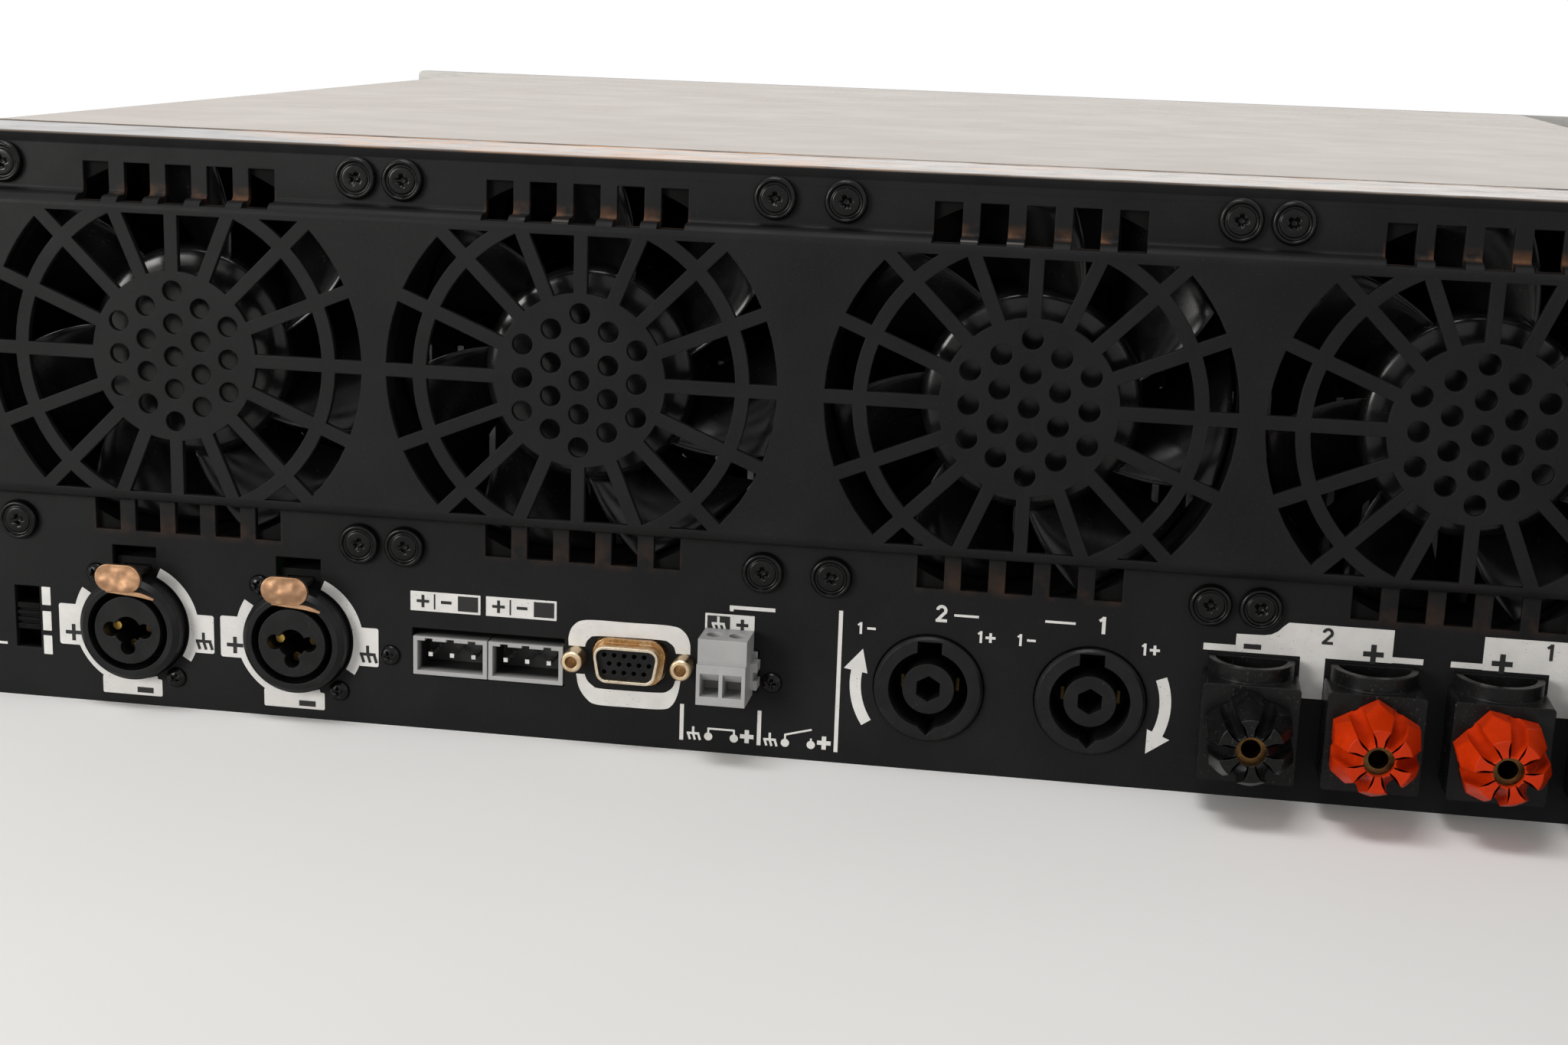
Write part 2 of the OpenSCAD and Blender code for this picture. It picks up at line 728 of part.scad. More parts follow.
// Two small screws of the panel, beside the input sockets and the two-pole plug
panel_screw_spots = [
  [jack_xs[1] + jack_r + 4 * small_head_r, jack_z - small_head_r],
  [plug_x + plug_w / 2 + 1.75 * small_head_r, plug_z - small_head_r]
];

// Places measured outwards from the panel's face
panel_in = -sheet_t;
board_face = panel_in - board_back;
fan_back = panel_in - fan_t;
rotor_front = panel_in - rotor_front_gap;
rotor_back = fan_back + motor_plate_t + rotor_back_gap;
blade_len = rotor_front - rotor_back - 2 * blade_inset;
tip_r = duct_r - tip_gap;
latch_plate_z = jack_out + latch_travel + latch_rest;
stem_y = jack_r + stem_rise;
plug_header_w = plug_w + 2 * plug_border;
gain_back = -rack_t - gain_body_d;

// Places inside the tray
deck_z = sheet_t + standoff_h;
amp_back_y = rear_y - amp_back;
amp_front_y = amp_back_y - sink_len - 2 * sink_inset;
supply_front_y = tray_front_y + supply_inset;
supply_back_y = amp_front_y - supply_gap;
standoff_spots = concat(
  [for (s = [-1, 1], x = [-1, 1], y = [amp_front_y + standoff_inset, amp_back_y - standoff_inset])
    [s * amp_pitch / 2 + x * (amp_w / 2 - standoff_inset), y]],
  [for (x = [-1, 0, 1], y = [supply_front_y + standoff_inset, supply_back_y - standoff_inset])
    [supply_x + x * (supply_w / 2 - standoff_inset), y]]
);

// A shape placed on the connector panel: x to the right as seen from behind, y up, z outwards
module at_rear(x, z, out = 0) {
  translate([-(x + row_x), rear_y + out, z]) rotate([90, 0, 180]) children();
}

// A shape placed on the rack panel: x to the right as seen from the front, y up, z outwards
module at_front(x, z, out = 0) {
  translate([x, front_y - out, z]) rotate([90, 0, 0]) children();
}

// A box with its middle on x and y, from z0 to z1
module block(w, h, z0, z1) {
  translate([-w / 2, -h / 2, z0]) cube([w, h, z1 - z0]);
}

// A box of width w from y0 to y1 and from z0 to z1
module slab(w, y0, y1, z0, z1) {
  translate([-w / 2, y0, z0]) cube([w, y1 - y0, z1 - z0]);
}

// A round bar from z0 to z1
module bar(r, z0, z1) {
  translate([0, 0, z0]) cylinder(r = r, h = z1 - z0);
}

// A flat shape carried from z0 to z1
module plate(z0, z1) {
  translate([0, 0, z0]) linear_extrude(z1 - z0) children();
}

// A side view carried along X, centred
module along_x(w) {
  translate([-w / 2, 0, 0]) rotate([90, 0, 90]) linear_extrude(w) children();
}

// A front view carried along Y from y0 to y1
module along_y(y0, y1) {
  translate([0, y1, 0]) rotate([90, 0, 0]) linear_extrude(y1 - y0) children();
}

// Copies at the four corners of a square
module at_corners(pitch) {
  for (sx = [-1, 1], sy = [-1, 1]) translate([sx * pitch / 2, sy * pitch / 2, 0]) children();
}

// Copies at the two screws of an input socket's flange
module at_flange_screws() {
  for (s = [-1, 1]) translate([-s * flange_screw_w / 2, s * flange_screw_h / 2, 0]) children();
}

function turned(list) = [for (i = [len(list) - 1:-1:0]) list[i]];
function unit(v) = v / norm(v);
function left_of(d) = [-d.y, d.x];
function box_points(w, h) = [[-w / 2, -h / 2], [w / 2, -h / 2], [w / 2, h / 2], [-w / 2, h / 2]];

// Points along one face of a bent sheet: straight runs with a quarter circle at each corner,
// shifted by o to the left of the sheet's middle line
function bend_face(path, r, o) = [
  for (i = [0:len(path) - 1])
    let (
      before = unit(path[max(i, 1)] - path[max(i, 1) - 1]),
      after = unit(path[min(i, len(path) - 2) + 1] - path[min(i, len(path) - 2)]),
      side = before.x * after.y - before.y * after.x,
      n = left_of(before)
    )
    each abs(side) < 0.5
      ? [path[i] + n * o]
      : let (c = path[i] - before * r + n * side * r)
        [for (k = [0:bend_steps])
          let (a = 90 * k / bend_steps)
          c + (r - side * o) * (before * sin(a) - side * n * cos(a))]
];

// Side view of a sheet bent at right angles along its middle line
module bent_sheet(path) {
  polygon(concat(
    bend_face(path, bend_r + sheet_t / 2, sheet_t / 2),
    turned(bend_face(path, bend_r + sheet_t / 2, -sheet_t / 2))
  ));
}

// A polygon whose corners are arcs of radius r
function rounded(points, r, steps = 5) = [
  for (i = [0:len(points) - 1])
    let (
      p = points[i],
      u = unit(points[(i + len(points) - 1) % len(points)] - p),
      v = unit(points[(i + 1) % len(points)] - p),
      half = acos(u * v) / 2,
      c = p + unit(u + v) * r / sin(half),
      start = p + u * r / tan(half) - c,
      end = p + v * r / tan(half) - c,
      a0 = atan2(start.y, start.x),
      a1 = atan2(end.y, end.x),
      sweep = a1 - a0 > 180 ? a1 - a0 - 360 : (a1 - a0 < -180 ? a1 - a0 + 360 : a1 - a0)
    )
    for (k = [0:steps]) c + r * [cos(a0 + sweep * k / steps), sin(a0 + sweep * k / steps)]
];

// Outline of a data socket, grown by g: wider at the top, with round corners
module data_outline(g) {
  w = data_w / 2 + g;
  h = data_h / 2 + g;
  polygon(rounded([[-w + data_slope, -h], [w - data_slope, -h], [w, h], [-w, h]], data_corner_r + g));
}

// A slot with round ends along x
module round_slot(w, h) {
  square([w - h, h], center = true);
  for (s = [-1, 1]) translate([s * (w - h) / 2, 0]) circle(h / 2);
}

// A screw with a low round head on z = 0 and its shank below
module pan_screw(head_r, head_h, shank_r, shank_len) {
  edge_h = head_h * 0.4;
  dome_r = (head_r * head_r + (head_h - edge_h) * (head_h - edge_h)) / (2 * (head_h - edge_h));
  rotate_extrude() {
    square([head_r, edge_h]);
    translate([0, edge_h]) intersection() {
      translate([0, head_h - edge_h - dome_r]) circle(dome_r);
      square([head_r, head_h]);
    }
    translate([0, -shank_len]) square([shank_r, shank_len + edge_h / 2]);
  }
}

// Openings of one fan grille: two rings of cells between spokes, and holes in the hub disc
module grille_openings() {
  reach = 2 * open_r + eps;
  intersection() {
    square([reach, 2 * open_half_h], center = true);
    difference() {
      union() {
        difference() {
          circle(ring_in_r);
          circle(hub_disc_r);
        }
        difference() {
          circle(open_r);
          circle(ring_out_r);
        }
      }
      for (i = [0:spokes / 2 - 1]) rotate(i * 360 / spokes) square([reach, spoke_w], center = true);
    }
  }
  columns = (hub_holes - 1) / 2;
  for (c = [-columns:columns], r = [0:hub_holes - 1 - abs(c)])
    translate([c * cos(30), r - (hub_holes - 1 - abs(c)) / 2] * hub_hole_pitch) circle(hub_hole_r);
}

// Cuts for one fan: grille, air slots and screw holes
module fan_cuts() {
  plate(bulge_out - sheet_t - eps, bulge_out + eps) grille_openings();
  for (side = [-1, 1], k = [0:slot_count - 1])
    translate([(k - (slot_count - 1) / 2) * slot_pitch, side * (slot_near + slot_far) / 2, 0])
      block(slot_w, slot_far - slot_near, panel_in - eps, bulge_out + eps);
  at_corners(fan_screw_pitch) bar(fan_screw_r + fit_gap, panel_in - eps, eps);
}

// Cut-outs for the connectors
module connector_cuts() {
  depth = panel_in - eps;
  for (x = jack_xs) at_rear(x, jack_z) {
    bar(jack_r + fit_gap, depth, eps);
    slab(latch_w - fit_gap, jack_r - eps, jack_r + notch_h, depth, eps);
    at_flange_screws() bar(small_screw_r + tap_gap, depth, eps);
  }
  at_rear(mode_x, jack_z) block(mode_w, mode_h, depth, eps);
  at_rear(header_mid_x, header_z)
    slab(
      2 * header_pitch + fit_gap,
      -header_h / 2 - fit_gap,
      header_h / 2 + fit_gap + header_slack,
      depth,
      eps
    );
  at_rear(data_x, data_z) {
    plate(depth, eps) data_outline(data_step + fit_gap);
    for (s = [-1, 1]) translate([s * data_screw_pitch / 2, 0, 0]) bar(lock_shank_r + tap_gap, depth, eps);
  }
  at_rear(plug_x, plug_z) block(plug_header_w + 2 * fit_gap, header_h + 2 * fit_gap, depth, eps);
  for (x = socket_xs) at_rear(x, socket_z) bar(socket_r + fit_gap, depth, eps);
  for (x = post_xs) at_rear(x, post_z) bar(stud_r + boss_wall + fit_gap, depth, eps);
  at_rear(inlet_x, inlet_z)
    block(inlet_w - 2 * inlet_border + 2 * fit_gap, inlet_h - 2 * inlet_border + 2 * fit_gap, depth, eps);
  for (p = panel_screw_spots) at_rear(p.x, p.y) bar(small_screw_r + tap_gap, depth, eps);
}

// Connector panel: one sheet with the raised fan plate and a top flange
module rear_panel() color("#202124") {
  mid = sheet_t / 2;
  difference() {
    along_x(chassis_w) bent_sheet([
      [rear_y - mid, 0],
      [rear_y - mid, bulge_low + mid],
      [rear_y + bulge_out - mid, bulge_low + mid],
      [rear_y + bulge_out - mid, bulge_high - mid],
      [rear_y - mid, bulge_high - mid],
      [rear_y - mid, chassis_h - mid],
      [rear_y - flange_d, chassis_h - mid]
    ]);
    for (x = fan_xs) at_rear(x, fan_z) fan_cuts();
    connector_cuts();
  }
}

// Floor and sides in one bent sheet, with tabs that close the ends of the raised plate
// and standoffs for the boards
module chassis_tray() color("#303236") {
  mid = sheet_t / 2;
  x = side_x - mid;
  top = chassis_h - sheet_t - fit_gap;
  tab_z = bulge_low + sheet_t + bend_r;
  difference() {
    along_y(tray_front_y, tray_back_y) bent_sheet([[-x, top], [-x, mid], [x, mid], [x, top]]);
    cover_screw_holes(x);
  }
  for (s = [-1, 1]) translate([s * x - mid, tray_back_y - eps, tab_z])
    cube([sheet_t, bulge_out + eps - fit_gap, bulge_high - sheet_t - bend_r - tab_z]);
  for (p = standoff_spots)
    translate([p.x, p.y, sheet_t - eps]) cylinder(r = standoff_r, h = standoff_h + eps);
}

// Holes for the cover screws in the two walls whose middles are at -x and x
module cover_screw_holes(x) {
  for (y = cover_screw_ys, s = [-1, 1])
    translate([s * x, y, cover_screw_z]) rotate([0, 90, 0]) bar(small_screw_r + fit_gap, -sheet_t, sheet_t);
}

// Flat lid with side lips that overlap the tray
module top_cover() color("#2a2b2e") {
  mid = sheet_t / 2;
  x = chassis_w / 2 - mid;
  z = chassis_h - mid;
  low = chassis_h - cover_lip;
  difference() {
    along_y(tray_front_y, cover_back_y) bent_sheet([[-x, low], [-x, z], [x, z], [x, low]]);
    cover_screw_holes(x);
  }
}

// Pan-head screws through the cover's lips
module cover_screws() color("#1a1a1b") {
  for (s = [-1, 1], y = cover_screw_ys)
    translate([s * chassis_w / 2, y, cover_screw_z]) rotate([0, s * 90, 0])
      pan_screw(cover_screw_r, cover_head_h, small_screw_r, cover_screw_len);
}

// Sixteen screws that hold the fans: a rimmed head with a groove round its raised middle
module fan_screws() color("#101011") {
  tip = panel_in - fan_flange_t;
  for (x = fan_xs) at_rear(x, fan_z) at_corners(fan_screw_pitch) rotate_extrude() polygon([
    [0, tip],
    [fan_screw_r, tip],
    [fan_screw_r, 0],
    [fan_head_r, 0],
    [fan_head_r, fan_rim_h - fan_rim_edge],
    [fan_head_r - fan_rim_edge, fan_rim_h],
    [fan_head_r - 2 * fan_rim_edge, fan_rim_h],
    [fan_disc_r, fan_rim_h - fan_groove],
    [fan_disc_r, fan_head_h - fan_groove / 2],
    [fan_disc_r - fan_groove / 2, fan_head_h],
    [0, fan_head_h]
  ]);
}

// Small screws of the panel and of the input sockets
module panel_screws() color("#151516") {
  for (p = panel_screw_spots) at_rear(p.x, p.y)
    pan_screw(small_head_r, small_head_h, small_screw_r, small_screw_len);
  for (x = jack_xs) at_rear(x, jack_z) at_flange_screws()
    pan_screw(small_head_r, small_head_h, small_screw_r, small_screw_len);
}

// Square fan frame with flanges, duct, struts and the rotor's bearing
module fan_frame(i) color("#161617") {
  strut_start = rotor_hub_r - rotor_wall - strut_w / 2;
  at_rear(fan_xs[i], fan_z) {
    difference() {
      union() {
        for (z = [fan_back, panel_in - fan_flange_t])
          plate(z, z + fan_flange_t) polygon(rounded(box_points(fan_size, fan_size), fan_corner_r));
        bar(duct_r + duct_wall, fan_back, panel_in);
      }
      bar(duct_r, fan_back - eps, panel_in + eps);
      at_corners(fan_screw_pitch) bar(fan_screw_r + tap_gap, fan_back - eps, panel_in + eps);
    }
    difference() {
      union() {
        bar(rotor_hub_r - rotor_wall, fan_back, fan_back + motor_plate_t);
        bar(rotor_shaft_r + bearing_wall, fan_back, fan_back + bearing_len);
        for (k = [0:struts - 1]) rotate(45 + k * 360 / struts)
          translate([strut_start, -strut_w / 2, fan_back])
            cube([duct_r + duct_wall / 2 - strut_start, strut_w, motor_plate_t]);
      }
      bar(rotor_shaft_r + run_gap, fan_back + bearing_floor, fan_back + bearing_len + eps);
    }
  }
}

// Outline of a blade across the axis: a strip that widens and sweeps forwards to its tip
function blade_side(s) = [
  for (k = [0:blade_steps])
    let (
      t = k / blade_steps,
      root = rotor_hub_r - rotor_wall / 3,
      r = root + t * (tip_r - root),
      w = blade_root_w + t * (blade_tip_w - blade_root_w),
      a = blade_sweep * t + s * w / 2 / r * 180 / PI
    )
    r * [cos(a), sin(a)]
];

// Fan rotor: cup-shaped hub with its shaft, and wound blades
module fan_rotor(i) color("#0c0c0d") {
  at_rear(fan_xs[i], fan_z) {
    difference() {
      rotate_extrude() polygon(concat(
        [[0, rotor_back], [rotor_hub_r, rotor_back]],
        [for (a = [0:15:90])
          [rotor_hub_r - rotor_edge_r * (1 - cos(a)), rotor_front - rotor_edge_r * (1 - sin(a))]],
        [[0, rotor_front]]
      ));
      difference() {
        bar(rotor_hub_r - rotor_wall, rotor_back - eps, rotor_front - rotor_wall);
        bar(rotor_shaft_r, rotor_back - 2 * eps, rotor_front);
      }
    }
    bar(rotor_shaft_r, fan_back + bearing_floor + fit_gap, rotor_back + eps);
    for (b = [0:blades - 1]) rotate(b * 360 / blades)
      translate([0, 0, rotor_back + blade_inset])
        linear_extrude(blade_len, twist = blade_twist, slices = twist_steps)
          polygon(concat(blade_side(1), turned(blade_side(-1))));
  }
}

// Combined three-pole and jack socket: round shell, ring space, core and the latch's guide
module input_jack(i) color("#17181a") {
  at_rear(jack_xs[i], jack_z) difference() {
    union() {
      rotate_extrude() polygon([
        [0, board_face],
        [jack_r, board_face],
        [jack_r, jack_out - jack_edge],
        [jack_r - jack_edge, jack_out],
        [0, jack_out]
      ]);
      slab(jack_flange_w, -jack_flange_low, jack_r + fit_gap, panel_in - jack_flange_t, panel_in);
      translate([0, stem_y, 0]) block(
        stem_w + 2 * fit_gap + 2 * guide_wall,
        stem_t + 2 * fit_gap + 2 * guide_wall,
        panel_in - fit_gap - guide_d,
        panel_in - fit_gap
      );
    }
    difference() {
      bar(jack_rim_r, jack_out - jack_space_d, jack_out + eps);
      bar(jack_core_r, jack_out - jack_space_d - eps, jack_out + eps);
    }
    bar(jack_hole_r, jack_out - jack_hole_d, jack_out + eps);
    at_contacts() bar(contact_hole_r, jack_out - jack_space_d, jack_out + eps);
    translate([0, stem_y, 0])
      block(stem_w + 2 * fit_gap, stem_t + 2 * fit_gap, panel_in - guide_d - latch_travel - eps, eps);
    at_flange_screws() bar(small_screw_r + tap_gap, panel_in - small_screw_len, panel_in + eps);
  }
}

// Copies at the three contacts of an input socket
module at_contacts() {
  for (a = [0, 180, 270]) rotate(a) translate([contact_ring_r, 0, 0]) children();
}

// Push latch: an oval plate on a flat stem that slides in the socket's guide
module jack_latch(i) color("#c08a62") {
  at_rear(jack_xs[i], jack_z) translate([0, stem_y, 0]) {
    plate(latch_plate_z, latch_plate_z + latch_t) round_slot(latch_w, latch_h);
    block(stem_w, stem_t, panel_in - guide_d, latch_plate_z + latch_t / 2);
  }
}

// Body of the slide switch behind its window
module mode_switch() color("#141415") {
  at_rear(mode_x, jack_z) difference() {
    block(mode_w + 2 * mode_wall, mode_h + 3 * mode_wall, panel_in - mode_d - mode_wall, panel_in);
    block(mode_w, mode_h, panel_in - mode_d, panel_in + eps);
  }
}

// Handle of the slide switch, with grip grooves
module mode_slider() color("#26272a") {
  at_rear(mode_x, jack_z) difference() {
    block(
      mode_w - 2 * fit_gap,
      mode_h - 2 * mode_travel - 2 * fit_gap,
      panel_in - mode_d + fit_gap,
      -mode_in
    );
    for (k = [-1:1]) translate([0, k * grip_pitch, 0]) block(mode_w, grip_w, -mode_in - grip_w, 0);
  }
}

// Two open pin headers
module input_headers() color("#77797c") {
  for (x = header_xs) at_rear(x, header_z) pin_header(header_w, pin_count);
}

// A pin header: open box with a keyway over each pin
module pin_header(w, n) {
  difference() {
    block(w, header_h, board_face, header_out);
    block(w - 2 * header_wall, header_h - 2 * header_wall, -header_d, header_out + eps);
    for (k = [0:n - 1]) translate([(k - (n - 1) / 2) * pin_pitch, 0, 0]) {
      slab(keyway_w, 0, header_h / 2 - header_wall + keyway_d, -header_d, header_out + eps);
      block(pin_w, pin_w, board_face - eps, -header_d + eps);
    }
  }
}

// Pins of the headers
module header_pins() color("#c9cacb") {
  for (x = header_xs, k = [0:pin_count - 1])
    at_rear(x + (k - (pin_count - 1) / 2) * pin_pitch, header_z) block(pin_w, pin_w, board_face, -pin_in);
  for (s = [-1, 1])
    at_rear(plug_x + s * pin_pitch / 2, plug_z) block(pin_w, pin_w, board_face, -pin_in);
}

// Metal shell of the data socket, with a step at its foot and a flange behind the panel
module data_shell() color("#a98a5c") {
  back = panel_in - data_flange_t;
  at_rear(data_x, data_z) difference() {
    union() {
      plate(back, panel_in)
        polygon(rounded(box_points(data_screw_pitch + 2.5 * lock_r, data_flange_h), lock_shank_r));
      plate(back, data_step_out) data_outline(data_step);
      plate(back, data_out) data_outline(0);
    }
    plate(back - eps, data_out + eps) data_outline(-data_wall);
    for (s = [-1, 1]) translate([s * data_screw_pitch / 2, 0, 0])
      bar(lock_shank_r + tap_gap, back - eps, panel_in + eps);
  }
}

// Insulator with three rows of contact holes
module data_insert() color("#111112") {
  face = data_out - data_insert_in;
  back = panel_in - data_flange_t;
  at_rear(data_x, data_z) difference() {
    union() {
      plate(back, face) data_outline(-data_wall - run_gap);
      block(data_w + 2 * data_step, data_h + 2 * data_step, board_face, back);
    }
    for (row = [-1:1], k = [-2:2])
      translate([(k + (row == 0 ? 0.25 : -0.25)) * data_pitch, row * data_row_pitch, 0])
        bar(data_hole_r, face - data_hole_d, face + eps);
  }
}

// Round threaded heads that lock a data plug
module data_jackscrews() color("#b9a27a") {
  edge = (lock_r - lock_hole_r) / 3;
  for (s = [-1, 1]) at_rear(data_x + s * data_screw_pitch / 2, data_z) difference() {
    rotate_extrude() polygon([
      [0, panel_in - lock_shank_len],
      [lock_shank_r, panel_in - lock_shank_len],
      [lock_shank_r, 0],
      [lock_r, 0],
      [lock_r, lock_h - edge],
      [lock_r - edge, lock_h],
      [0, lock_h]
    ]);
    bar(lock_hole_r, lock_h - lock_hole_d, lock_h + eps);
  }
}

// Header that the two-pole plug sits in
module control_header() color("#77797c") {
  at_rear(plug_x, plug_z) pin_header(plug_header_w, 2);
}

// Two-pole screw-terminal plug: a body with wire funnels, a cap with clamp-screw wells,
// a slotted ear and a nose in the header
module control_plug() color("#85878a") {
  top = plug_h - plug_low;
  cap = top - plug_cap_h;
  funnel_low = (cap - plug_low - funnel_h) / 2;
  at_rear(plug_x, plug_z) difference() {
    union() {
      slab(plug_w, -plug_low, cap, plug_gap, plug_out);
      slab(plug_w, cap - eps, top, plug_gap, plug_out - plug_cap_in);
      block(
        plug_header_w - 2 * header_wall - 2 * fit_gap,
        header_h - 2 * header_wall - 2 * fit_gap,
        -plug_nose,
        plug_gap + eps
      );
      translate([plug_w / 2 + ear_w / 2, 0, 0]) block(ear_w + eps, ear_h, plug_gap, plug_gap + ear_t);
    }
    translate([plug_w / 2 + ear_w, 0, 0]) block(ear_w, ear_h / 3, plug_gap - eps, plug_gap + ear_t + eps);
    for (s = [-1, 1]) translate([s * pin_pitch / 2, 0, 0]) {
      block(pin_w + 2 * fit_gap, pin_w + 2 * fit_gap, -plug_nose - eps, -pin_in + 2 * fit_gap + pin_w);
      along_x(funnel_w) polygon([
        [funnel_low, plug_out - wire_hole_d],
        [funnel_low + wire_hole_h, plug_out - wire_hole_d],
        [funnel_low + wire_hole_h, plug_out - funnel_d],
        [funnel_low + funnel_h, plug_out],
        [funnel_low + funnel_h, plug_out + eps],
        [funnel_low, plug_out + eps]
      ]);
      translate([0, top, plug_out / 2]) rotate([90, 0, 0]) bar(clamp_r, -eps, clamp_d);
    }
  }
}

// Round twist-lock loudspeaker socket: ring space, middle post with a six-sided hole, keyway and notch
module speaker_socket(i) color("#1a1b1d") {
  width = 2 * (socket_r + socket_flange);
  at_rear(socket_xs[i], socket_z) difference() {
    union() {
      rotate_extrude() polygon([
        [0, board_face],
        [socket_r, board_face],
        [socket_r, socket_out - socket_edge],
        [socket_r - socket_edge, socket_out],
        [0, socket_out]
      ]);
      block(width, width, panel_in - socket_flange_t, panel_in);
    }
    difference() {
      bar(socket_space_r, socket_out - socket_space_d, socket_out + eps);
      bar(socket_post_r, socket_out - socket_space_d - eps, socket_out - socket_post_in);
    }
    rotate(30) translate([0, 0, socket_out - socket_hole_d])
      cylinder(r = socket_hole_r, h = socket_hole_d + eps, $fn = 6);
    slab(key_w, socket_post_r + eps, key_r, socket_out - key_d, socket_out + eps);
    plate(socket_out - key_d, socket_out + eps) translate([0, -socket_space_r])
      rotate(45) square(notch_w / sqrt(2), center = true);
  }
}

// Contacts of the input sockets and speaker sockets, and the mains inlet's three blades
module socket_contacts() color("#c8963c") {
  for (x = jack_xs) at_rear(x, jack_z) at_contacts()
    bar(contact_r, jack_out - jack_space_d, jack_out - contact_in);
  for (x = socket_xs, s = [-1, 1])
    at_rear(x + s * (socket_post_r + spring_t / 2), socket_z)
      block(spring_t, spring_w, socket_out - socket_space_d, socket_out - spring_in);
  at_rear(inlet_x, inlet_z) at_inlet_blades() block(blade_t, blade_w, -recess_d - blade_t / 2, -blade_in);
}

// Copies at the three blades of the mains inlet
module at_inlet_blades() {
  translate([blade_row, 0, 0]) children();
  for (s = [-1, 1]) translate([-blade_row, s * blade_pitch / 2, 0]) children();
}

// Block of a binding post: square body, hood round a wire pocket, and a boss through the panel
module post_block(i) color("#131314") {
  top = block_h / 2;
  pocket_low = stud_r + pocket_rest;
  at_rear(post_xs[i], post_z) difference() {
    union() {
      plate(0, block_d) polygon(rounded(box_points(block_w, block_h), block_corner_r));
      intersection() {
        translate([0, top - eps, hood_axis]) rotate([-90, 0, 0]) cylinder(r = hood_r, h = hood_h + eps);
        slab(block_w, top - eps, top + hood_h, 0, block_d);
      }
      bar(stud_r + boss_wall, board_face, eps);
    }
    bar(stud_r + run_gap, board_face - eps, block_d + eps);
    intersection() {
      translate([0, pocket_low, hood_axis]) rotate([-90, 0, 0]) cylinder(r = hood_r - hood_wall, h = block_h);
      slab(block_w, pocket_low - eps, block_h, pocket_back, block_d);
    }
  }
}

// Brass studs with a plug hole from the front
module post_studs() color("#c9a14a") {
  front = knob_front - stud_in;
  for (x = post_xs) at_rear(x, post_z) difference() {
    bar(stud_r, board_face - board_t - stud_tail, front);
    bar(post_bore_r, front - post_bore_len, front + eps);
  }
}

// Brass clamp washer under a knob
module post_washer(i) color("#c9a14a") {
  at_rear(post_xs[i], post_z) difference() {
    bar(washer_r, block_d + run_gap, block_d + run_gap + washer_t);
    bar(stud_r + run_gap, block_d - eps, block_d + washer_t + eps);
  }
}

// Fluted knob: a six-sided bar drawn in to its front end, with a flute down the middle of each side
module post_knob(i) color(i == 1 || i == 2 ? "#d3321c" : "#161617") {
  flat = cos(30);
  back_r = knob_r * flat - flute_back;
  front_r = knob_front_r * flat - flute_front;
  lean = atan2(back_r - front_r, knob_len);
  at_rear(post_xs[i], post_z) rotate(knob_turns[i]) difference() {
    rotate(30) translate([0, 0, knob_back]) {
      cylinder(r = knob_r, h = knob_straight, $fn = 6);
      translate([0, 0, knob_straight])
        cylinder(r1 = knob_r, r2 = knob_front_r, h = knob_len - knob_straight, $fn = 6);
    }
    for (a = [0:60:300]) rotate(a) translate([back_r, 0, knob_back]) rotate([0, -lean, 0]) {
      bar(flute_w / 2, -flute_w, 2 * knob_len);
      translate([0, -flute_w / 2, -flute_w]) cube([knob_r, flute_w, 3 * knob_len]);
    }
    bar(stud_r + run_gap, knob_back - eps, knob_front - knob_rim);
    bar(knob_hole_r, knob_back, knob_front + eps);
    bar(washer_r + fit_gap, knob_back - eps, knob_back + washer_t);
  }
}

// Mains inlet: flange, body and a recess with two cut corners
module mains_inlet() color("#141415") {
  w = recess_w / 2;
  h = recess_h / 2;
  at_rear(inlet_x, inlet_z) difference() {
    union() {
      plate(0, inlet_flange_t) polygon(rounded(box_points(inlet_w, inlet_h), inlet_corner_r));
      block(inlet_w - 2 * inlet_border, inlet_h - 2 * inlet_border, panel_in - inlet_d, eps);
    }
    plate(-recess_d, inlet_flange_t + eps) polygon([
      [-w, -h], [w - recess_cut, -h], [w, recess_cut - h], [w, h - recess_cut], [w - recess_cut, h], [-w, h]
    ]);
    at_inlet_blades() block(blade_t, blade_w, -recess_d - blade_t / 2, -recess_d + eps);
  }
}

// Rack panel with slotted ears, vents and openings for the controls
module rack_panel() color("#222326") {
  back = -rack_t - eps;
  difference() {
    at_front(0, chassis_h / 2) plate(-rack_t, 0)
      polygon(rounded(box_points(rack_w, chassis_h), rack_corner_r));
    for (sx = [-1, 1], sz = [-1, 1])
      at_front(sx * rack_slot_x / 2, chassis_h / 2 + sz * rack_slot_z / 2)
        plate(back, eps) round_slot(rack_slot_len, rack_slot_h);
    for (side = [-1, 1], row = [-1, 1], k = [0:vent_count - 1])
      at_front(
        side * (chassis_w / 2 - vent_inset - k * vent_pitch),
        chassis_h / 2 + row * (vent_h + vent_gap) / 2
      )
        plate(back, eps) rotate(90) round_slot(vent_h, vent_w);
    for (s = [-1, 1]) at_front(s * gain_pitch / 2, gain_z) bar(gain_bush_r + fit_gap, back, eps);
    at_front(0, rocker_z) block(rocker_w + 2 * rocker_wall, rocker_h + 2 * rocker_wall, back, eps);
    at_lights() bar(light_r, back, eps);
  }
}

// Copies at the indicator lights
module at_lights() {
  for (s = [-1, 1], k = [0:light_count - 1])
    at_front(s * light_row_pitch / 2, light_z + k * light_pitch) children();
}

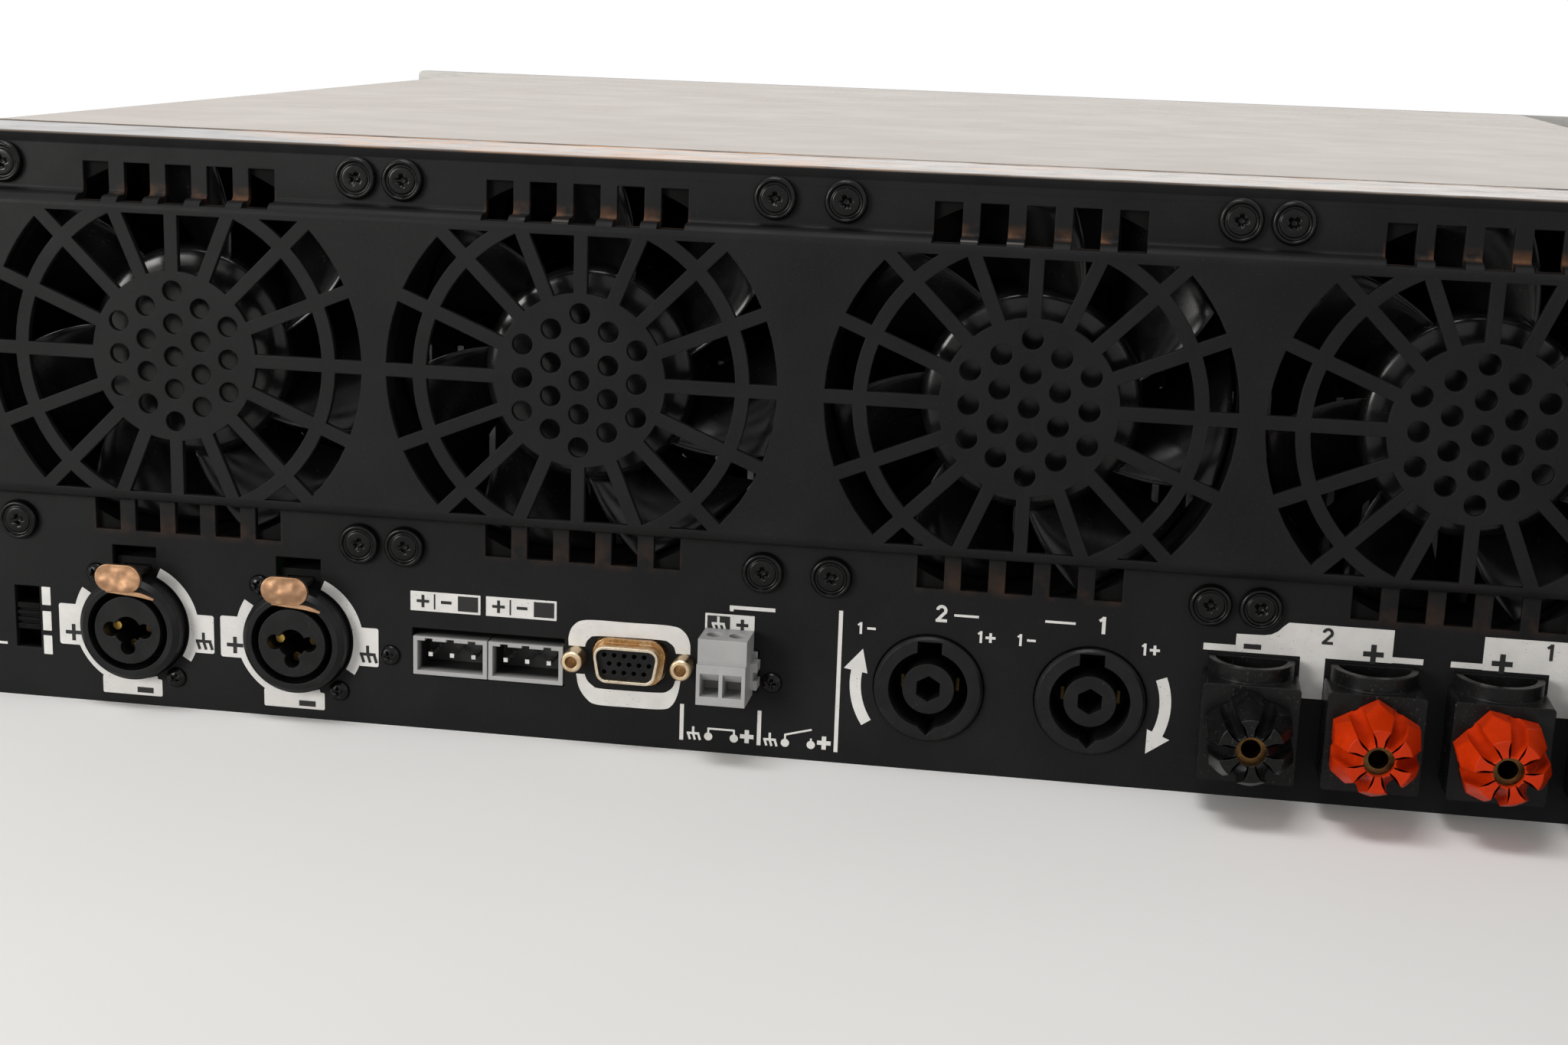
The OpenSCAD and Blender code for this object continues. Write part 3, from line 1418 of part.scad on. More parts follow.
// A handle: a round bar with two quarter bends and straight legs
module handle(side) color("#1c1d1f") {
  reach = handle_out - handle_r;
  at_front(side * handle_x / 2, chassis_h / 2) {
    for (s = [-1, 1]) translate([0, s * handle_len / 2, 0]) {
      bar(handle_r, 0, reach - handle_bend_r);
      translate([0, -s * handle_bend_r, reach - handle_bend_r]) rotate([0, -90, s > 0 ? 0 : 180])
        rotate_extrude(angle = 90) translate([handle_bend_r, 0]) circle(handle_r);
    }
    translate([0, 0, reach]) rotate([90, 0, 0])
      cylinder(r = handle_r, h = handle_len - 2 * handle_bend_r, center = true);
  }
}
module handle_left() handle(-1);
module handle_right() handle(1);

// Bodies of the two gain controls with their threaded bushes
module gain_controls() color("#55575a") {
  for (s = [-1, 1]) at_front(s * gain_pitch / 2, gain_z) difference() {
    union() {
      bar(gain_body_r, gain_back, -rack_t);
      bar(gain_bush_r, -rack_t - eps, gain_bush_out);
    }
    bar(gain_shaft_r + run_gap, gain_back + sheet_t, gain_bush_out + eps);
  }
}

// Gain knob with its shaft, grip grooves and a pointer groove
module gain_knob(i) color("#1b1c1e") {
  front = gain_gap + gain_len;
  neck_r = gain_r - gain_edge * 1.6;
  at_front((i == 0 ? -1 : 1) * gain_pitch / 2, gain_z) {
    bar(gain_shaft_r, gain_back + sheet_t + fit_gap, gain_bush_out + 2 * gain_gap + eps);
    difference() {
      translate([0, 0, gain_gap]) rotate_extrude() polygon([
        [0, 0],
        [gain_r, 0],
        [gain_r, gain_skirt_h],
        [neck_r, gain_skirt_h + gain_edge],
        [neck_r - gain_taper, gain_len - gain_edge],
        [neck_r - gain_taper - gain_edge, gain_len],
        [0, gain_len]
      ]);
      bar(gain_bush_r + gain_gap, gain_gap - eps, gain_bush_out + gain_gap);
      for (k = [0:gain_grips - 1]) rotate((k + 0.5) * 360 / gain_grips)
        translate([neck_r + gain_grip_r / 2, 0, gain_gap + gain_skirt_h + 2 * gain_edge])
          cylinder(r = gain_grip_r, h = gain_len);
      slab(pointer_w, gain_r / 4, gain_r, front - pointer_d, front + eps);
    }
  }
}

// Frame of the power switch
module rocker_frame() color("#141415") {
  w = rocker_w + 2 * rocker_wall;
  h = rocker_h + 2 * rocker_wall;
  at_front(0, rocker_z) difference() {
    union() {
      plate(0, rocker_rim_t)
        polygon(rounded(box_points(w + 2 * rocker_border, h + 2 * rocker_border), rocker_border));
      block(w - 2 * fit_gap, h - 2 * fit_gap, -rack_t - rocker_d, eps);
    }
    block(rocker_w, rocker_h, -rack_t - rocker_d + rocker_wall, rocker_rim_t + eps);
    translate([0, 0, -rocker_pivot]) rotate([0, 90, 0])
      cylinder(r = pivot_r, h = rocker_w + 2 * (rocker_wall - fit_gap) - fit_gap, center = true);
  }
}

// Paddle of the power switch, resting on one side, with its pivot pins
module power_rocker() color("#1d1e20") {
  half = rocker_h / 2;
  low = rocker_rise / 5;
  at_front(0, rocker_z, -rocker_pivot) rotate([rocker_tilt, 0, 0]) {
    along_x(rocker_w - 2 * fit_gap) polygon([
      [low * 2 - half, -low],
      [low * 0.6 - half, rocker_pivot],
      [low * 0.8 - half, rocker_rise],
      [0, rocker_rise - rocker_hollow],
      [half - low * 0.8, rocker_rise],
      [half - low * 0.6, rocker_pivot],
      [half - low * 2, -low]
    ]);
    rotate([0, 90, 0])
      cylinder(r = pivot_r - run_gap, h = rocker_w + 2 * rocker_wall - 5 * fit_gap, center = true);
  }
}

// Round lenses of the indicator lights
module indicator_lights() color("#9fc7a0") {
  r = light_r - run_gap;
  at_lights() {
    bar(r, -rack_t - r, r / 8);
    translate([0, 0, r / 8]) rotate_extrude() intersection() {
      circle(r);
      square(r);
    }
    bar(light_r + light_collar, -rack_t - 2 * r, -rack_t);
  }
}

// Upright boards behind the connectors
module input_board() color("#1f5a34") {
  connector_board(mode_x - mode_w - mode_wall, plug_x + plug_header_w + 2 * sheet_t);
}
module output_board() color("#1f5a34") {
  difference() {
    connector_board(
      socket_xs[0] - socket_r - socket_flange - sheet_t,
      post_xs[3] + stud_r + boss_wall + 2 * board_t + fit_gap
    );
    for (x = post_xs) at_rear(x, post_z) bar(stud_r + run_gap, board_face - board_t - eps, board_face + eps);
  }
}

// An upright board from x0 to x1 behind the connectors
module connector_board(x0, x1) {
  at_rear((x0 + x1) / 2, connector_board_z)
    slab(x1 - x0, 0, connector_board_h, board_face - board_t, board_face);
}

// Two amplifier boards
module amplifier_boards() color("#1f5a34") {
  for (s = [-1, 1]) translate([s * amp_pitch / 2 - amp_w / 2, amp_front_y, deck_z])
    cube([amp_w, amp_back_y - amp_front_y, board_t]);
}

// Two finned heat sinks in the fans' air stream
module heat_sinks() color("#8b8e92") {
  step = (sink_w - sink_fin_t) / (sink_fins - 1);
  for (s = [-1, 1]) translate([s * amp_pitch / 2 - sink_w / 2, amp_back_y - sink_inset, deck_z + board_t])
    rotate([90, 0, 0]) linear_extrude(sink_len) {
      square([sink_w, sink_base_t]);
      for (k = [0:sink_fins - 1]) translate([k * step, 0]) square([sink_fin_t, sink_h]);
    }
}

// Power-supply board
module supply_board() color("#1f5a34") {
  translate([supply_x - supply_w / 2, supply_front_y, deck_z])
    cube([supply_w, supply_back_y - supply_front_y, board_t]);
}

// Reservoir capacitors on the supply board
module capacitors() color("#23324d") {
  pitch = 2 * capacitor_r + capacitor_gap;
  x0 = supply_x - supply_w / 2 + capacitor_inset + capacitor_r;
  y0 = supply_front_y + capacitor_inset + capacitor_r;
  for (c = [0:capacitor_count - 1], r = [0:1])
    translate([x0 + c * pitch, y0 + r * pitch, deck_z + board_t]) rotate_extrude() polygon([
      [0, 0],
      [capacitor_r, 0],
      [capacitor_r, capacitor_h - capacitor_edge],
      [capacitor_r - capacitor_edge, capacitor_h],
      [0, capacitor_h]
    ]);
}

// Ring-shaped transformer on the floor
module transformer() color("#b5651d") {
  inner_r = transformer_r - transformer_w;
  translate([-transformer_x, (supply_front_y + supply_back_y) / 2, sheet_t]) rotate_extrude()
    polygon(rounded(
      [[inner_r, 0], [transformer_r, 0], [transformer_r, transformer_h], [inner_r, transformer_h]],
      transformer_edge_r
    ));
}

chassis_tray();
rear_panel();
top_cover();
rack_panel();
handle_left();
handle_right();
cover_screws();
fan_screws();
panel_screws();
for (i = [0:3]) {
  fan_frame(i);
  fan_rotor(i);
  post_block(i);
  post_washer(i);
  post_knob(i);
}
for (i = [0:1]) {
  input_jack(i);
  jack_latch(i);
  speaker_socket(i);
  gain_knob(i);
}
mode_switch();
mode_slider();
input_headers();
header_pins();
data_shell();
data_insert();
data_jackscrews();
control_header();
control_plug();
socket_contacts();
post_studs();
mains_inlet();
gain_controls();
rocker_frame();
power_rocker();
indicator_lights();
input_board();
output_board();
amplifier_boards();
heat_sinks();
supply_board();
capacitors();
transformer();
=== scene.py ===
"""Looks of a rack power amplifier, seen from its connector side.

Lengths are millimetres until a mesh is made, and the scene is in metres. Panel coordinates are
across (to the right as seen from behind), up (from the underside) and out (from the panel's face).
"""
import json
import math

import bmesh
import bpy
import numpy as np
from mathutils import Matrix


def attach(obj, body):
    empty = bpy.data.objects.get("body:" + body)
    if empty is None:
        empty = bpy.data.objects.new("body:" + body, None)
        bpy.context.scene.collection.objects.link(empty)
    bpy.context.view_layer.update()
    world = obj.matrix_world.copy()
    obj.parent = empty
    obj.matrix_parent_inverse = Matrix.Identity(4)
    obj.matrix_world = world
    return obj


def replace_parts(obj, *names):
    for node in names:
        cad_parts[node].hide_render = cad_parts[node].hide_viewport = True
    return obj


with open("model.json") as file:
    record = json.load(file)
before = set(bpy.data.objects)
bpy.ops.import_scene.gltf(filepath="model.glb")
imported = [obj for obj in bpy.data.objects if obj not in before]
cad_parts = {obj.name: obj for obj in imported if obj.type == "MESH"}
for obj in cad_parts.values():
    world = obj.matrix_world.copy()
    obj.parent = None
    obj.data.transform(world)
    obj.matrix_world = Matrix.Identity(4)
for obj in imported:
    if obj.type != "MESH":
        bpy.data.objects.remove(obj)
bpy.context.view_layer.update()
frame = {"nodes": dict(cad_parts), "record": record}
nodes = frame["nodes"]

# Sizes shared with the part's source
MM = 0.001
ROW_SHIFT = 7.3
PANEL_Y = 235.25
RACK_Y, RACK_BACK = -222.75, -219.75
FAN_X = (-142.1, -48.9, 48.9, 142.1)
FAN_Z = 84.25
FAN_SCREW = 41.25
JACK_X, JACK_Z = (-155.4, -115.6), 19.4
SOCKET_X, SOCKET_Z = (30.3, 65.9), 19.2
GAIN_X, GAIN_Z = (-28.0, 28.0), 92.0
SIDE_X = 213.0
POST_X, POST_Z = (99.7, 125.6, 151.5, 177.4), 18.2
PANEL_SCREWS = [(-93.8, 17.0), (-4.9, 17.6)]
JACK_SCREW = (9.5, 12)
COVER_SCREWS, COVER_SCREW_Y, COVER_SCREW_STEP, COVER_SCREW_Z = 5, -194.75, 92.55, 124.5
GAIN_FACE_OUT = 16.0

# Heights of the ink above the panel, and of one stroke above another
INK_OUT = 0.06
SIGN_OUT = 0.12
OVER = 0.01


# Points and meshes

def on_panel(across, up, out):
    """Row-frame points for panel coordinates; x is mirrored because the panel is seen from behind."""
    return np.stack(np.broadcast_arrays(ROW_SHIFT - across, PANEL_Y + out, up), axis=-1).astype(float)


def on_rack(across, up, out):
    """Row-frame points for coordinates on the rack panel, seen from its front."""
    return np.stack(np.broadcast_arrays(across, RACK_Y - out, up), axis=-1).astype(float)


def on_side(side, along, up, out):
    """Row-frame points on the left (-1) or right (1) side wall, with along counted as the row's y."""
    return np.stack(np.broadcast_arrays(side * (SIDE_X + out), along, up), axis=-1).astype(float)


def smooth_line(points, steps):
    """A curve through the given points: each span is the cubic whose end slopes are half the step between
    the neighbours on both sides."""
    p = np.asarray(points, float)
    q = np.vstack([2 * p[0] - p[1], p, 2 * p[-1] - p[-2]])
    t = np.linspace(0, 1, steps, endpoint=False)[:, None]
    spans = []
    for k in range(len(p) - 1):
        a, b, c, d = q[k:k + 4]
        square, cube = 2 * a - 5 * b + 4 * c - d, 3 * b - a - 3 * c + d
        spans.append(0.5 * (2 * b + (c - a) * t + square * t ** 2 + cube * t ** 3))
    return np.vstack(spans + [p[-1:]])


def make_piece(name, patches, finish, body, smooth=True, facing=None):
    """One object from grids of points in millimetres. A patch is (grid, wrap): wrap joins the last column
    to the first, and every cell of the grid is a four-sided face. Faces look along facing on flat print, and
    otherwise outwards: the sum of each face's area vector times its place is the enclosed volume, so its
    sign tells."""
    points, faces, start = [], [], 0
    for grid, wrap in patches:
        rows, columns = grid.shape[:2]
        index = np.arange(rows * columns).reshape(rows, columns)
        if wrap:
            index = np.concatenate([index, index[:, :1]], axis=1)
        quads = np.stack([index[:-1, :-1], index[:-1, 1:], index[1:, 1:], index[1:, :-1]], -1).reshape(-1, 4)
        flat = grid.reshape(-1, 3)
        corner = flat[quads]
        area = np.cross(corner[:, 2] - corner[:, 0], corner[:, 3] - corner[:, 1])
        towards = corner.mean(axis=1) - flat.mean(axis=0) if facing is None else np.array(facing, float)
        if (area * towards).sum() < 0:
            quads = quads[:, ::-1]
        faces.append(start + quads)
        points.append(flat)
        start += len(flat)
    mesh = bpy.data.meshes.new(name)
    mesh.from_pydata(np.concatenate(points) * MM, [], np.concatenate(faces))
    work = bmesh.new()
    work.from_mesh(mesh)
    bmesh.ops.remove_doubles(work, verts=work.verts, dist=1e-7)
    work.to_mesh(mesh)
    work.free()
    mesh.validate()
    mesh.polygons.foreach_set("use_smooth", np.full(len(mesh.polygons), smooth))
    mesh.materials.append(finish)
    piece = bpy.data.objects.new(name, mesh)
    bpy.context.scene.collection.objects.link(piece)
    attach(piece, body)
    return piece


# Finishes

class Finish:
    """A material's node tree, with short calls for the nodes that the finishes share."""

    def __init__(self, name, colour, roughness, metallic=0.0, coat=0.0, specular=0.5):
        self.material = bpy.data.materials.new(name)
        self.material.use_nodes = True
        self.tree = self.material.node_tree
        self.shader = self.tree.nodes["Principled BSDF"]
        self.shader.inputs["Base Color"].default_value = (*colour, 1)
        self.shader.inputs["Roughness"].default_value = roughness
        self.shader.inputs["Metallic"].default_value = metallic
        self.shader.inputs["Coat Weight"].default_value = coat
        self.shader.inputs["Coat Roughness"].default_value = 0.12
        self.shader.inputs["Specular IOR Level"].default_value = specular
        self.place = self.tree.nodes.new("ShaderNodeTexCoord").outputs["Object"]
        self.x, self.y, self.z = self.node("ShaderNodeSeparateXYZ", {0: self.place}).outputs

    def node(self, kind, links=None, **settings):
        """A node with its settings, and its inputs linked or set."""
        n = self.tree.nodes.new(kind)
        for key, value in settings.items():
            setattr(n, key, value)
        for key, value in (links or {}).items():
            if isinstance(value, bpy.types.NodeSocket):
                self.tree.links.new(value, n.inputs[key])
            else:
                n.inputs[key].default_value = value
        return n

    def noise(self, size, detail=3.0, stretch=(1, 1, 1), roughness=0.55):
        """Even noise whose blobs are about size millimetres across, stretched along the axes."""
        scaled = self.node("ShaderNodeVectorMath", {0: self.place, 1: tuple(1 / s for s in stretch)},
                           operation="MULTIPLY")
        return self.node("ShaderNodeTexNoise", {
            "Vector": scaled.outputs[0], "Scale": 1 / (size * MM), "Detail": detail, "Roughness": roughness,
        }).outputs["Fac"]

    def spread(self, value, low, high, to_low=0.0, to_high=1.0):
        """Maps low..high onto to_low..to_high, with nothing beyond."""
        return self.node("ShaderNodeMapRange", {
            "Value": value, "From Min": low, "From Max": high, "To Min": to_low, "To Max": to_high,
        }).outputs["Result"]

    def ramp(self, place, start, end, to_start=0.0, to_end=1.0):
        """Goes from to_start to to_end between two places on an axis, in millimetres of the row frame."""
        return self.spread(place, start * MM, end * MM, to_start, to_end)

    def maths(self, operation, a, b=0.0):
        return self.node("ShaderNodeMath", {0: a, 1: b}, operation=operation).outputs[0]

    def blend(self, factor, first, second):
        """Colour that goes from first to second with the factor."""
        links = {0: factor}
        for key, value in ((6, first), (7, second)):
            links[key] = value if isinstance(value, bpy.types.NodeSocket) else (*value, 1)
        return self.node("ShaderNodeMix", links, data_type="RGBA").outputs[2]

    def feed(self, key, value):
        self.tree.links.new(value, self.shader.inputs[key])

    def surface(self, height=None, depth=0.05, strength=0.5, edge=0.25):
        """Softened edges, and fine relief of the given depth on top of them."""
        normal = self.node("ShaderNodeBevel", {"Radius": edge * MM}, samples=6).outputs[0]
        if height is not None:
            normal = self.node("ShaderNodeBump", {
                "Height": height, "Distance": depth * MM, "Strength": strength, "Normal": normal,
            }).outputs[0]
        self.feed("Normal", normal)


def powder_coat(name, colour, roughness, grain, specular, cloudy=0.5):
    """Fine-textured black paint: pale grain, a cloudy tone and uneven gloss."""
    f = Finish(name, colour, roughness, specular=specular)
    fine, cloud = f.noise(grain, 2), f.noise(24, 4)
    dull = tuple(c * 1.8 + 0.003 for c in colour)
    paint = f.blend(f.spread(cloud, 0.35, 0.75, 0, cloudy), colour, dull)
    paint = f.blend(f.spread(fine, 0.62, 0.78, 0, 0.3), paint, (0.06, 0.06, 0.062))
    rough = f.spread(f.noise(9, 3), 0.3, 0.7, roughness - 0.05, roughness + 0.06)
    return f, paint, rough, fine


def case_coat(name, colour, roughness, specular, cloudy=0.5):
    f, paint, rough, fine = powder_coat(name, colour, roughness, 0.3, specular, cloudy)
    f.feed("Base Color", paint)
    f.feed("Roughness", rough)
    f.surface(fine, 0.05, 0.25, 0.35)
    return f.material


def rack_coat(name, colour, roughness, specular):
    """The rack panel's paint on its front and edges; its back is bare brushed aluminium, pale enough to also
    paint the bright glare on the rack ear.
    """
    f, paint, rough, fine = powder_coat(name, colour, roughness, 0.3, specular)
    hair = f.noise(0.5, 3, stretch=(12, 1, 1))
    # Pale bare aluminium on the back: it also paints the glare on the rack ear
    back = f.ramp(f.y, RACK_BACK - 0.3, RACK_BACK - 0.1)
    metal = f.blend(f.spread(hair, 0.3, 0.7), (0.42, 0.41, 0.39), (0.5, 0.49, 0.47))
    f.feed("Base Color", f.blend(back, paint, metal))
    f.feed("Metallic", f.maths("MULTIPLY", back, 0.35))
    f.feed("Roughness", f.maths("ADD", rough, f.maths("MULTIPLY", back, 0.15)))
    f.surface(fine, 0.05, 0.25, 0.35)
    return f.material


def cover_coat(name, colour, roughness):
    """Smooth black paint under a thin film of warm dust, which shows as sheen at low angles. Dirt dulls the
    edge along the seam."""
    f = Finish(name, colour, roughness, specular=0.5)
    f.shader.inputs["Sheen Weight"].default_value = 0.27
    f.shader.inputs["Sheen Roughness"].default_value = 0.4
    f.shader.inputs["Sheen Tint"].default_value = (1, 0.8, 0.62, 1)
    dusty = tuple(c * 1.7 + 0.003 for c in colour)
    f.feed("Base Color", f.blend(f.spread(f.noise(45, 4), 0.35, 0.75), colour, dusty))
    seam = f.ramp(f.y, 198.5, 200)
    gloss = f.spread(f.noise(30, 2), 0.3, 0.7, roughness - 0.015, roughness + 0.025)
    f.feed("Roughness", f.maths("ADD", gloss, f.maths("MULTIPLY", seam, 0.4)))
    f.surface(edge=0.35)
    return f.material


def worn_panel_coat(name, colour, roughness, specular):
    """The connector panel's paint. Its top flange is smooth, dull along the seam, warm and pale partly with
    dust and partly as a painted sheen, and rubbed through in streaks from streak_end on to the right; the
    fold in front of it is painted dull black, a painted shade. The raised plate's upper bend is chipped, and
    the chips' pale bare metal also paints glints along the bend; rust-brown dust lies at the feet of the
    slots."""
    seam_y, front_y, streak_end = 203.2, 234.5, 152
    f, paint, rough, fine = powder_coat(name, colour, roughness, 0.32, specular)
    x, y, z = f.x, f.y, f.z
    near = 0.0
    for fan in FAN_X:
        away = f.maths("ABSOLUTE", f.maths("SUBTRACT", x, (ROW_SHIFT - fan) * MM))
        near = f.maths("MAXIMUM", near, f.ramp(away, 23.1, 21.9))
    upper_foot = f.maths("MULTIPLY", f.ramp(z, 117.2, 119.2), f.ramp(z, 122.5, 119.8))
    lower_foot = f.maths("MULTIPLY", f.ramp(z, 40.5, 42.5), f.ramp(z, 49.5, 43.5, 0, 0.25))
    foot = f.maths("MULTIPLY", f.maths("MAXIMUM", upper_foot, lower_foot), f.ramp(y, 237.2, 236.2))
    dust = f.maths("MULTIPLY", f.maths("MULTIPLY", foot, near), f.spread(f.noise(6, 4), 0.42, 0.64))
    paint = f.blend(f.maths("MULTIPLY", dust, 0.6), paint, (0.15, 0.07, 0.033))

    top = f.ramp(z, 132, 132.4)
    # Painted shade: the fold below the flange's top is darkened towards black, and made duller
    fold = f.maths("SUBTRACT", f.ramp(z, 129.9, 130.4), top)
    paint = f.blend(f.maths("MULTIPLY", fold, 0.8), paint, (0.002, 0.002, 0.002))
    seam = f.maths("MULTIPLY", top, f.ramp(y, 205.2, 203.4))
    # Warm pale tone on the flange's top: partly dust, partly a painted sheen
    paint = f.blend(f.maths("MULTIPLY", top, 0.7), paint, (0.15, 0.108, 0.076))
    width = f.ramp(x, 148, 110, 12 * MM, 31.2 * MM)
    reach = f.maths("SUBTRACT", f.maths("SUBTRACT", y, seam_y * MM), width)
    field = f.maths("MULTIPLY", f.ramp(reach, 1, -3), f.ramp(x, streak_end, streak_end - 10))
    field = f.maths("MULTIPLY", f.maths("MULTIPLY", field, top), f.ramp(y, front_y, front_y - 1.3))
    patchy = f.maths("ADD", f.noise(1.4, 5, stretch=(11, 1.2, 1)), f.ramp(x, 140, 30, -0.03, 0.07))
    rubbed = f.maths("MULTIPLY", f.spread(patchy, 0.48, 0.57), field)
    # Chips of bare metal on the upper bend: their pale tone also paints glints along the bend
    bend = f.maths("MULTIPLY", f.ramp(z, 118.6, 119, 0, 0.7), f.ramp(y, 239.1, 239.6))
    chips_and_glints = f.maths("MULTIPLY", bend, f.spread(f.noise(16, 4, stretch=(3, 1, 1)), 0.57, 0.63))
    bare = f.maths("MAXIMUM", rubbed, chips_and_glints)
    paler = f.maths("ADD", f.noise(2.2, 4, stretch=(8, 1.3, 1)), f.ramp(x, 110, -60, -0.12, 0.14))
    tone = f.blend(f.spread(paler, 0.4, 0.6), (0.72, 0.36, 0.15), (0.56, 0.5, 0.45))
    f.feed("Base Color", f.blend(bare, paint, tone))
    f.feed("Metallic", f.maths("ADD", f.maths("MULTIPLY", chips_and_glints, 0.4), f.maths("MULTIPLY", rubbed, 0.4)))
    smooth = f.maths("SUBTRACT", rough, f.maths("MULTIPLY", top, roughness - 0.11))
    smooth = f.maths("ADD", smooth, f.maths("MULTIPLY", fold, 0.3))
    dull = f.maths("MAXIMUM", seam, f.maths("MULTIPLY", rubbed, 0.2))
    smooth = f.maths("ADD", smooth, f.maths("MULTIPLY", dull, 0.45))
    f.feed("Roughness", f.maths("SUBTRACT", smooth, f.maths("MULTIPLY", chips_and_glints, 0.12)))
    f.surface(f.maths("MULTIPLY", fine, f.maths("SUBTRACT", 1.0, top)), 0.06, 0.3, 0.35)
    return f.material


def moulded(name, colour, roughness, grain, relief, dusty=0.0, edge=0.25, specular=0.4, inside=False):
    """Moulded plastic: a faint skin texture, uneven gloss, and a little pale dust. With inside, it is painted
    matt black where it lies behind the connector panel's face: painted shade in the openings."""
    f = Finish(name, colour, roughness, specular=specular)
    skin, patchy = f.noise(grain, 2), f.noise(6, 4)
    shade = f.blend(f.spread(patchy, 0.3, 0.75), colour, tuple(c * 1.35 + 0.002 for c in colour))
    if dusty:
        specks = f.maths("MULTIPLY", f.spread(f.noise(0.7, 2), 0.62, 0.72), f.spread(f.noise(9, 2), 0.4, 0.6))
        shade = f.blend(f.maths("MULTIPLY", specks, dusty), shade, (0.3, 0.26, 0.22))
    gloss = f.spread(patchy, 0.25, 0.8, roughness - 0.07, roughness + 0.12)
    if inside:
        # Painted shade: near black behind the panel's face
        deep = f.maths("MULTIPLY", f.ramp(f.y, 235.3, 234.3), f.ramp(f.y, 200, 201))
        shade = f.blend(deep, shade, (0.0008, 0.0008, 0.0008))
        gloss = f.maths("ADD", gloss, f.maths("MULTIPLY", deep, 0.4))
    f.feed("Base Color", shade)
    f.feed("Roughness", gloss)
    f.surface(skin, 0.03, relief, edge)
    return f.material


def bare_metal(name, colour, tarnish, roughness, brush=(1, 1, 1), edge=0.15):
    """Plated or plain metal with fine brushing and cloudy tarnish."""
    f = Finish(name, colour, roughness, metallic=1.0)
    hair, cloud = f.noise(0.5, 3, stretch=brush), f.noise(3.5, 4)
    f.feed("Base Color", f.blend(f.spread(cloud, 0.42, 0.72), colour, tarnish))
    f.feed("Roughness", f.spread(hair, 0.3, 0.7, roughness - 0.08, roughness + 0.14))
    f.surface(hair, 0.02, 0.3, edge)
    return f.material


def latch_plate(name, colour, tarnish):
    """Plated latch with a softly dented face; its stem, behind the plate, is painted dark: painted shade."""
    f = Finish(name, colour, 0.3, metallic=1.0)
    dents, cloud = f.noise(4.2, 1), f.noise(1.2, 4)
    # Painted shade: the stem behind the plate goes near black and not metallic
    stem = f.ramp(f.y, 243.55, 243.1)
    plate = f.blend(f.spread(cloud, 0.45, 0.75), colour, tarnish)
    f.feed("Base Color", f.blend(stem, plate, (0.012, 0.01, 0.009)))
    f.feed("Metallic", f.maths("SUBTRACT", 1.0, stem))
    f.feed("Roughness", f.spread(cloud, 0.3, 0.7, 0.4, 0.5))
    f.surface(dents, 2.2, 0.5, 0.3)
    return f.material


def contact_gilt(name, lit_gold, shaded_colour):
    """Gilt contacts of the input sockets: those on the left keep their gold as if lit, and the others are
    painted dark as painted shade.
    """
    f = Finish(name, lit_gold, 0.3, metallic=1.0)
    cloud = f.noise(1.5, 3)
    # Painted light and shade: gold on the contacts left of each socket's middle, dark on the others
    left = 0.0
    for centre in JACK_X:
        spot = f.maths("SUBTRACT", f.x, (ROW_SHIFT - centre) * MM)
        beside = f.maths("MULTIPLY", f.ramp(spot, 2.2, 2.8), f.ramp(spot, 12, 11))
        left = f.maths("MAXIMUM", left, beside)
    gold = f.blend(f.spread(cloud, 0.4, 0.75), lit_gold, tuple(c * 0.5 for c in lit_gold))
    f.feed("Base Color", f.blend(left, shaded_colour, gold))
    f.feed("Roughness", f.spread(cloud, 0.3, 0.7, 0.24, 0.4))
    f.surface(edge=0.15)
    return f.material


def bronze_shell(name, rim, base):
    """Plated socket shell: bright on its rim, and darker brown down towards the panel as painted shade, with
    patchy tarnish over it.
    """
    f = Finish(name, rim, 0.28, metallic=1.0)
    hair, cloud = f.noise(0.5, 3), f.noise(2.2, 4)
    # Painted shade darkening the shell towards the panel, plus patchy tarnish from the noise
    tarnish = f.maths("ADD", f.ramp(f.y, 240.2, 236.8), f.spread(cloud, 0.4, 0.7, -0.25, 0.35))
    f.feed("Base Color", f.blend(f.spread(tarnish, 0.0, 1.0), rim, base))
    f.feed("Roughness", f.spread(hair, 0.3, 0.7, 0.2, 0.42))
    f.surface(hair, 0.02, 0.3, 0.2)
    return f.material


def header_plastic(name, colour):
    """Pale moulded plastic, painted darker with depth in the pin headers as painted shade."""
    f = Finish(name, colour, 0.45, specular=0.4)
    patchy, skin = f.noise(6, 4), f.noise(0.4, 2)
    shade = f.blend(f.spread(patchy, 0.3, 0.75), colour, tuple(c * 0.84 for c in colour))
    # Painted shade: near black deep inside the pin headers
    deep = f.ramp(f.y, 235.1, 231.8)
    f.feed("Base Color", f.blend(deep, shade, (0.012, 0.012, 0.012)))
    f.feed("Roughness", f.spread(patchy, 0.25, 0.8, 0.38, 0.56))
    f.surface(skin, 0.03, 0.2, 0.25)
    return f.material


def screen_print(name, colour):
    """Printed ink with a few rubbed specks and a slightly uneven tone."""
    f = Finish(name, colour, 0.62, specular=0.3)
    rubbed = f.maths("MULTIPLY", f.spread(f.noise(0.45, 2), 0.66, 0.72), f.spread(f.noise(8, 2), 0.48, 0.6))
    tone = f.blend(f.spread(f.noise(5, 3), 0.3, 0.8), colour, tuple(c * 0.86 for c in colour))
    f.feed("Base Color", f.blend(rubbed, tone, (0.05, 0.05, 0.05)))
    f.surface(f.noise(0.3, 2), 0.02, 0.25, 0.02)
    return f.material


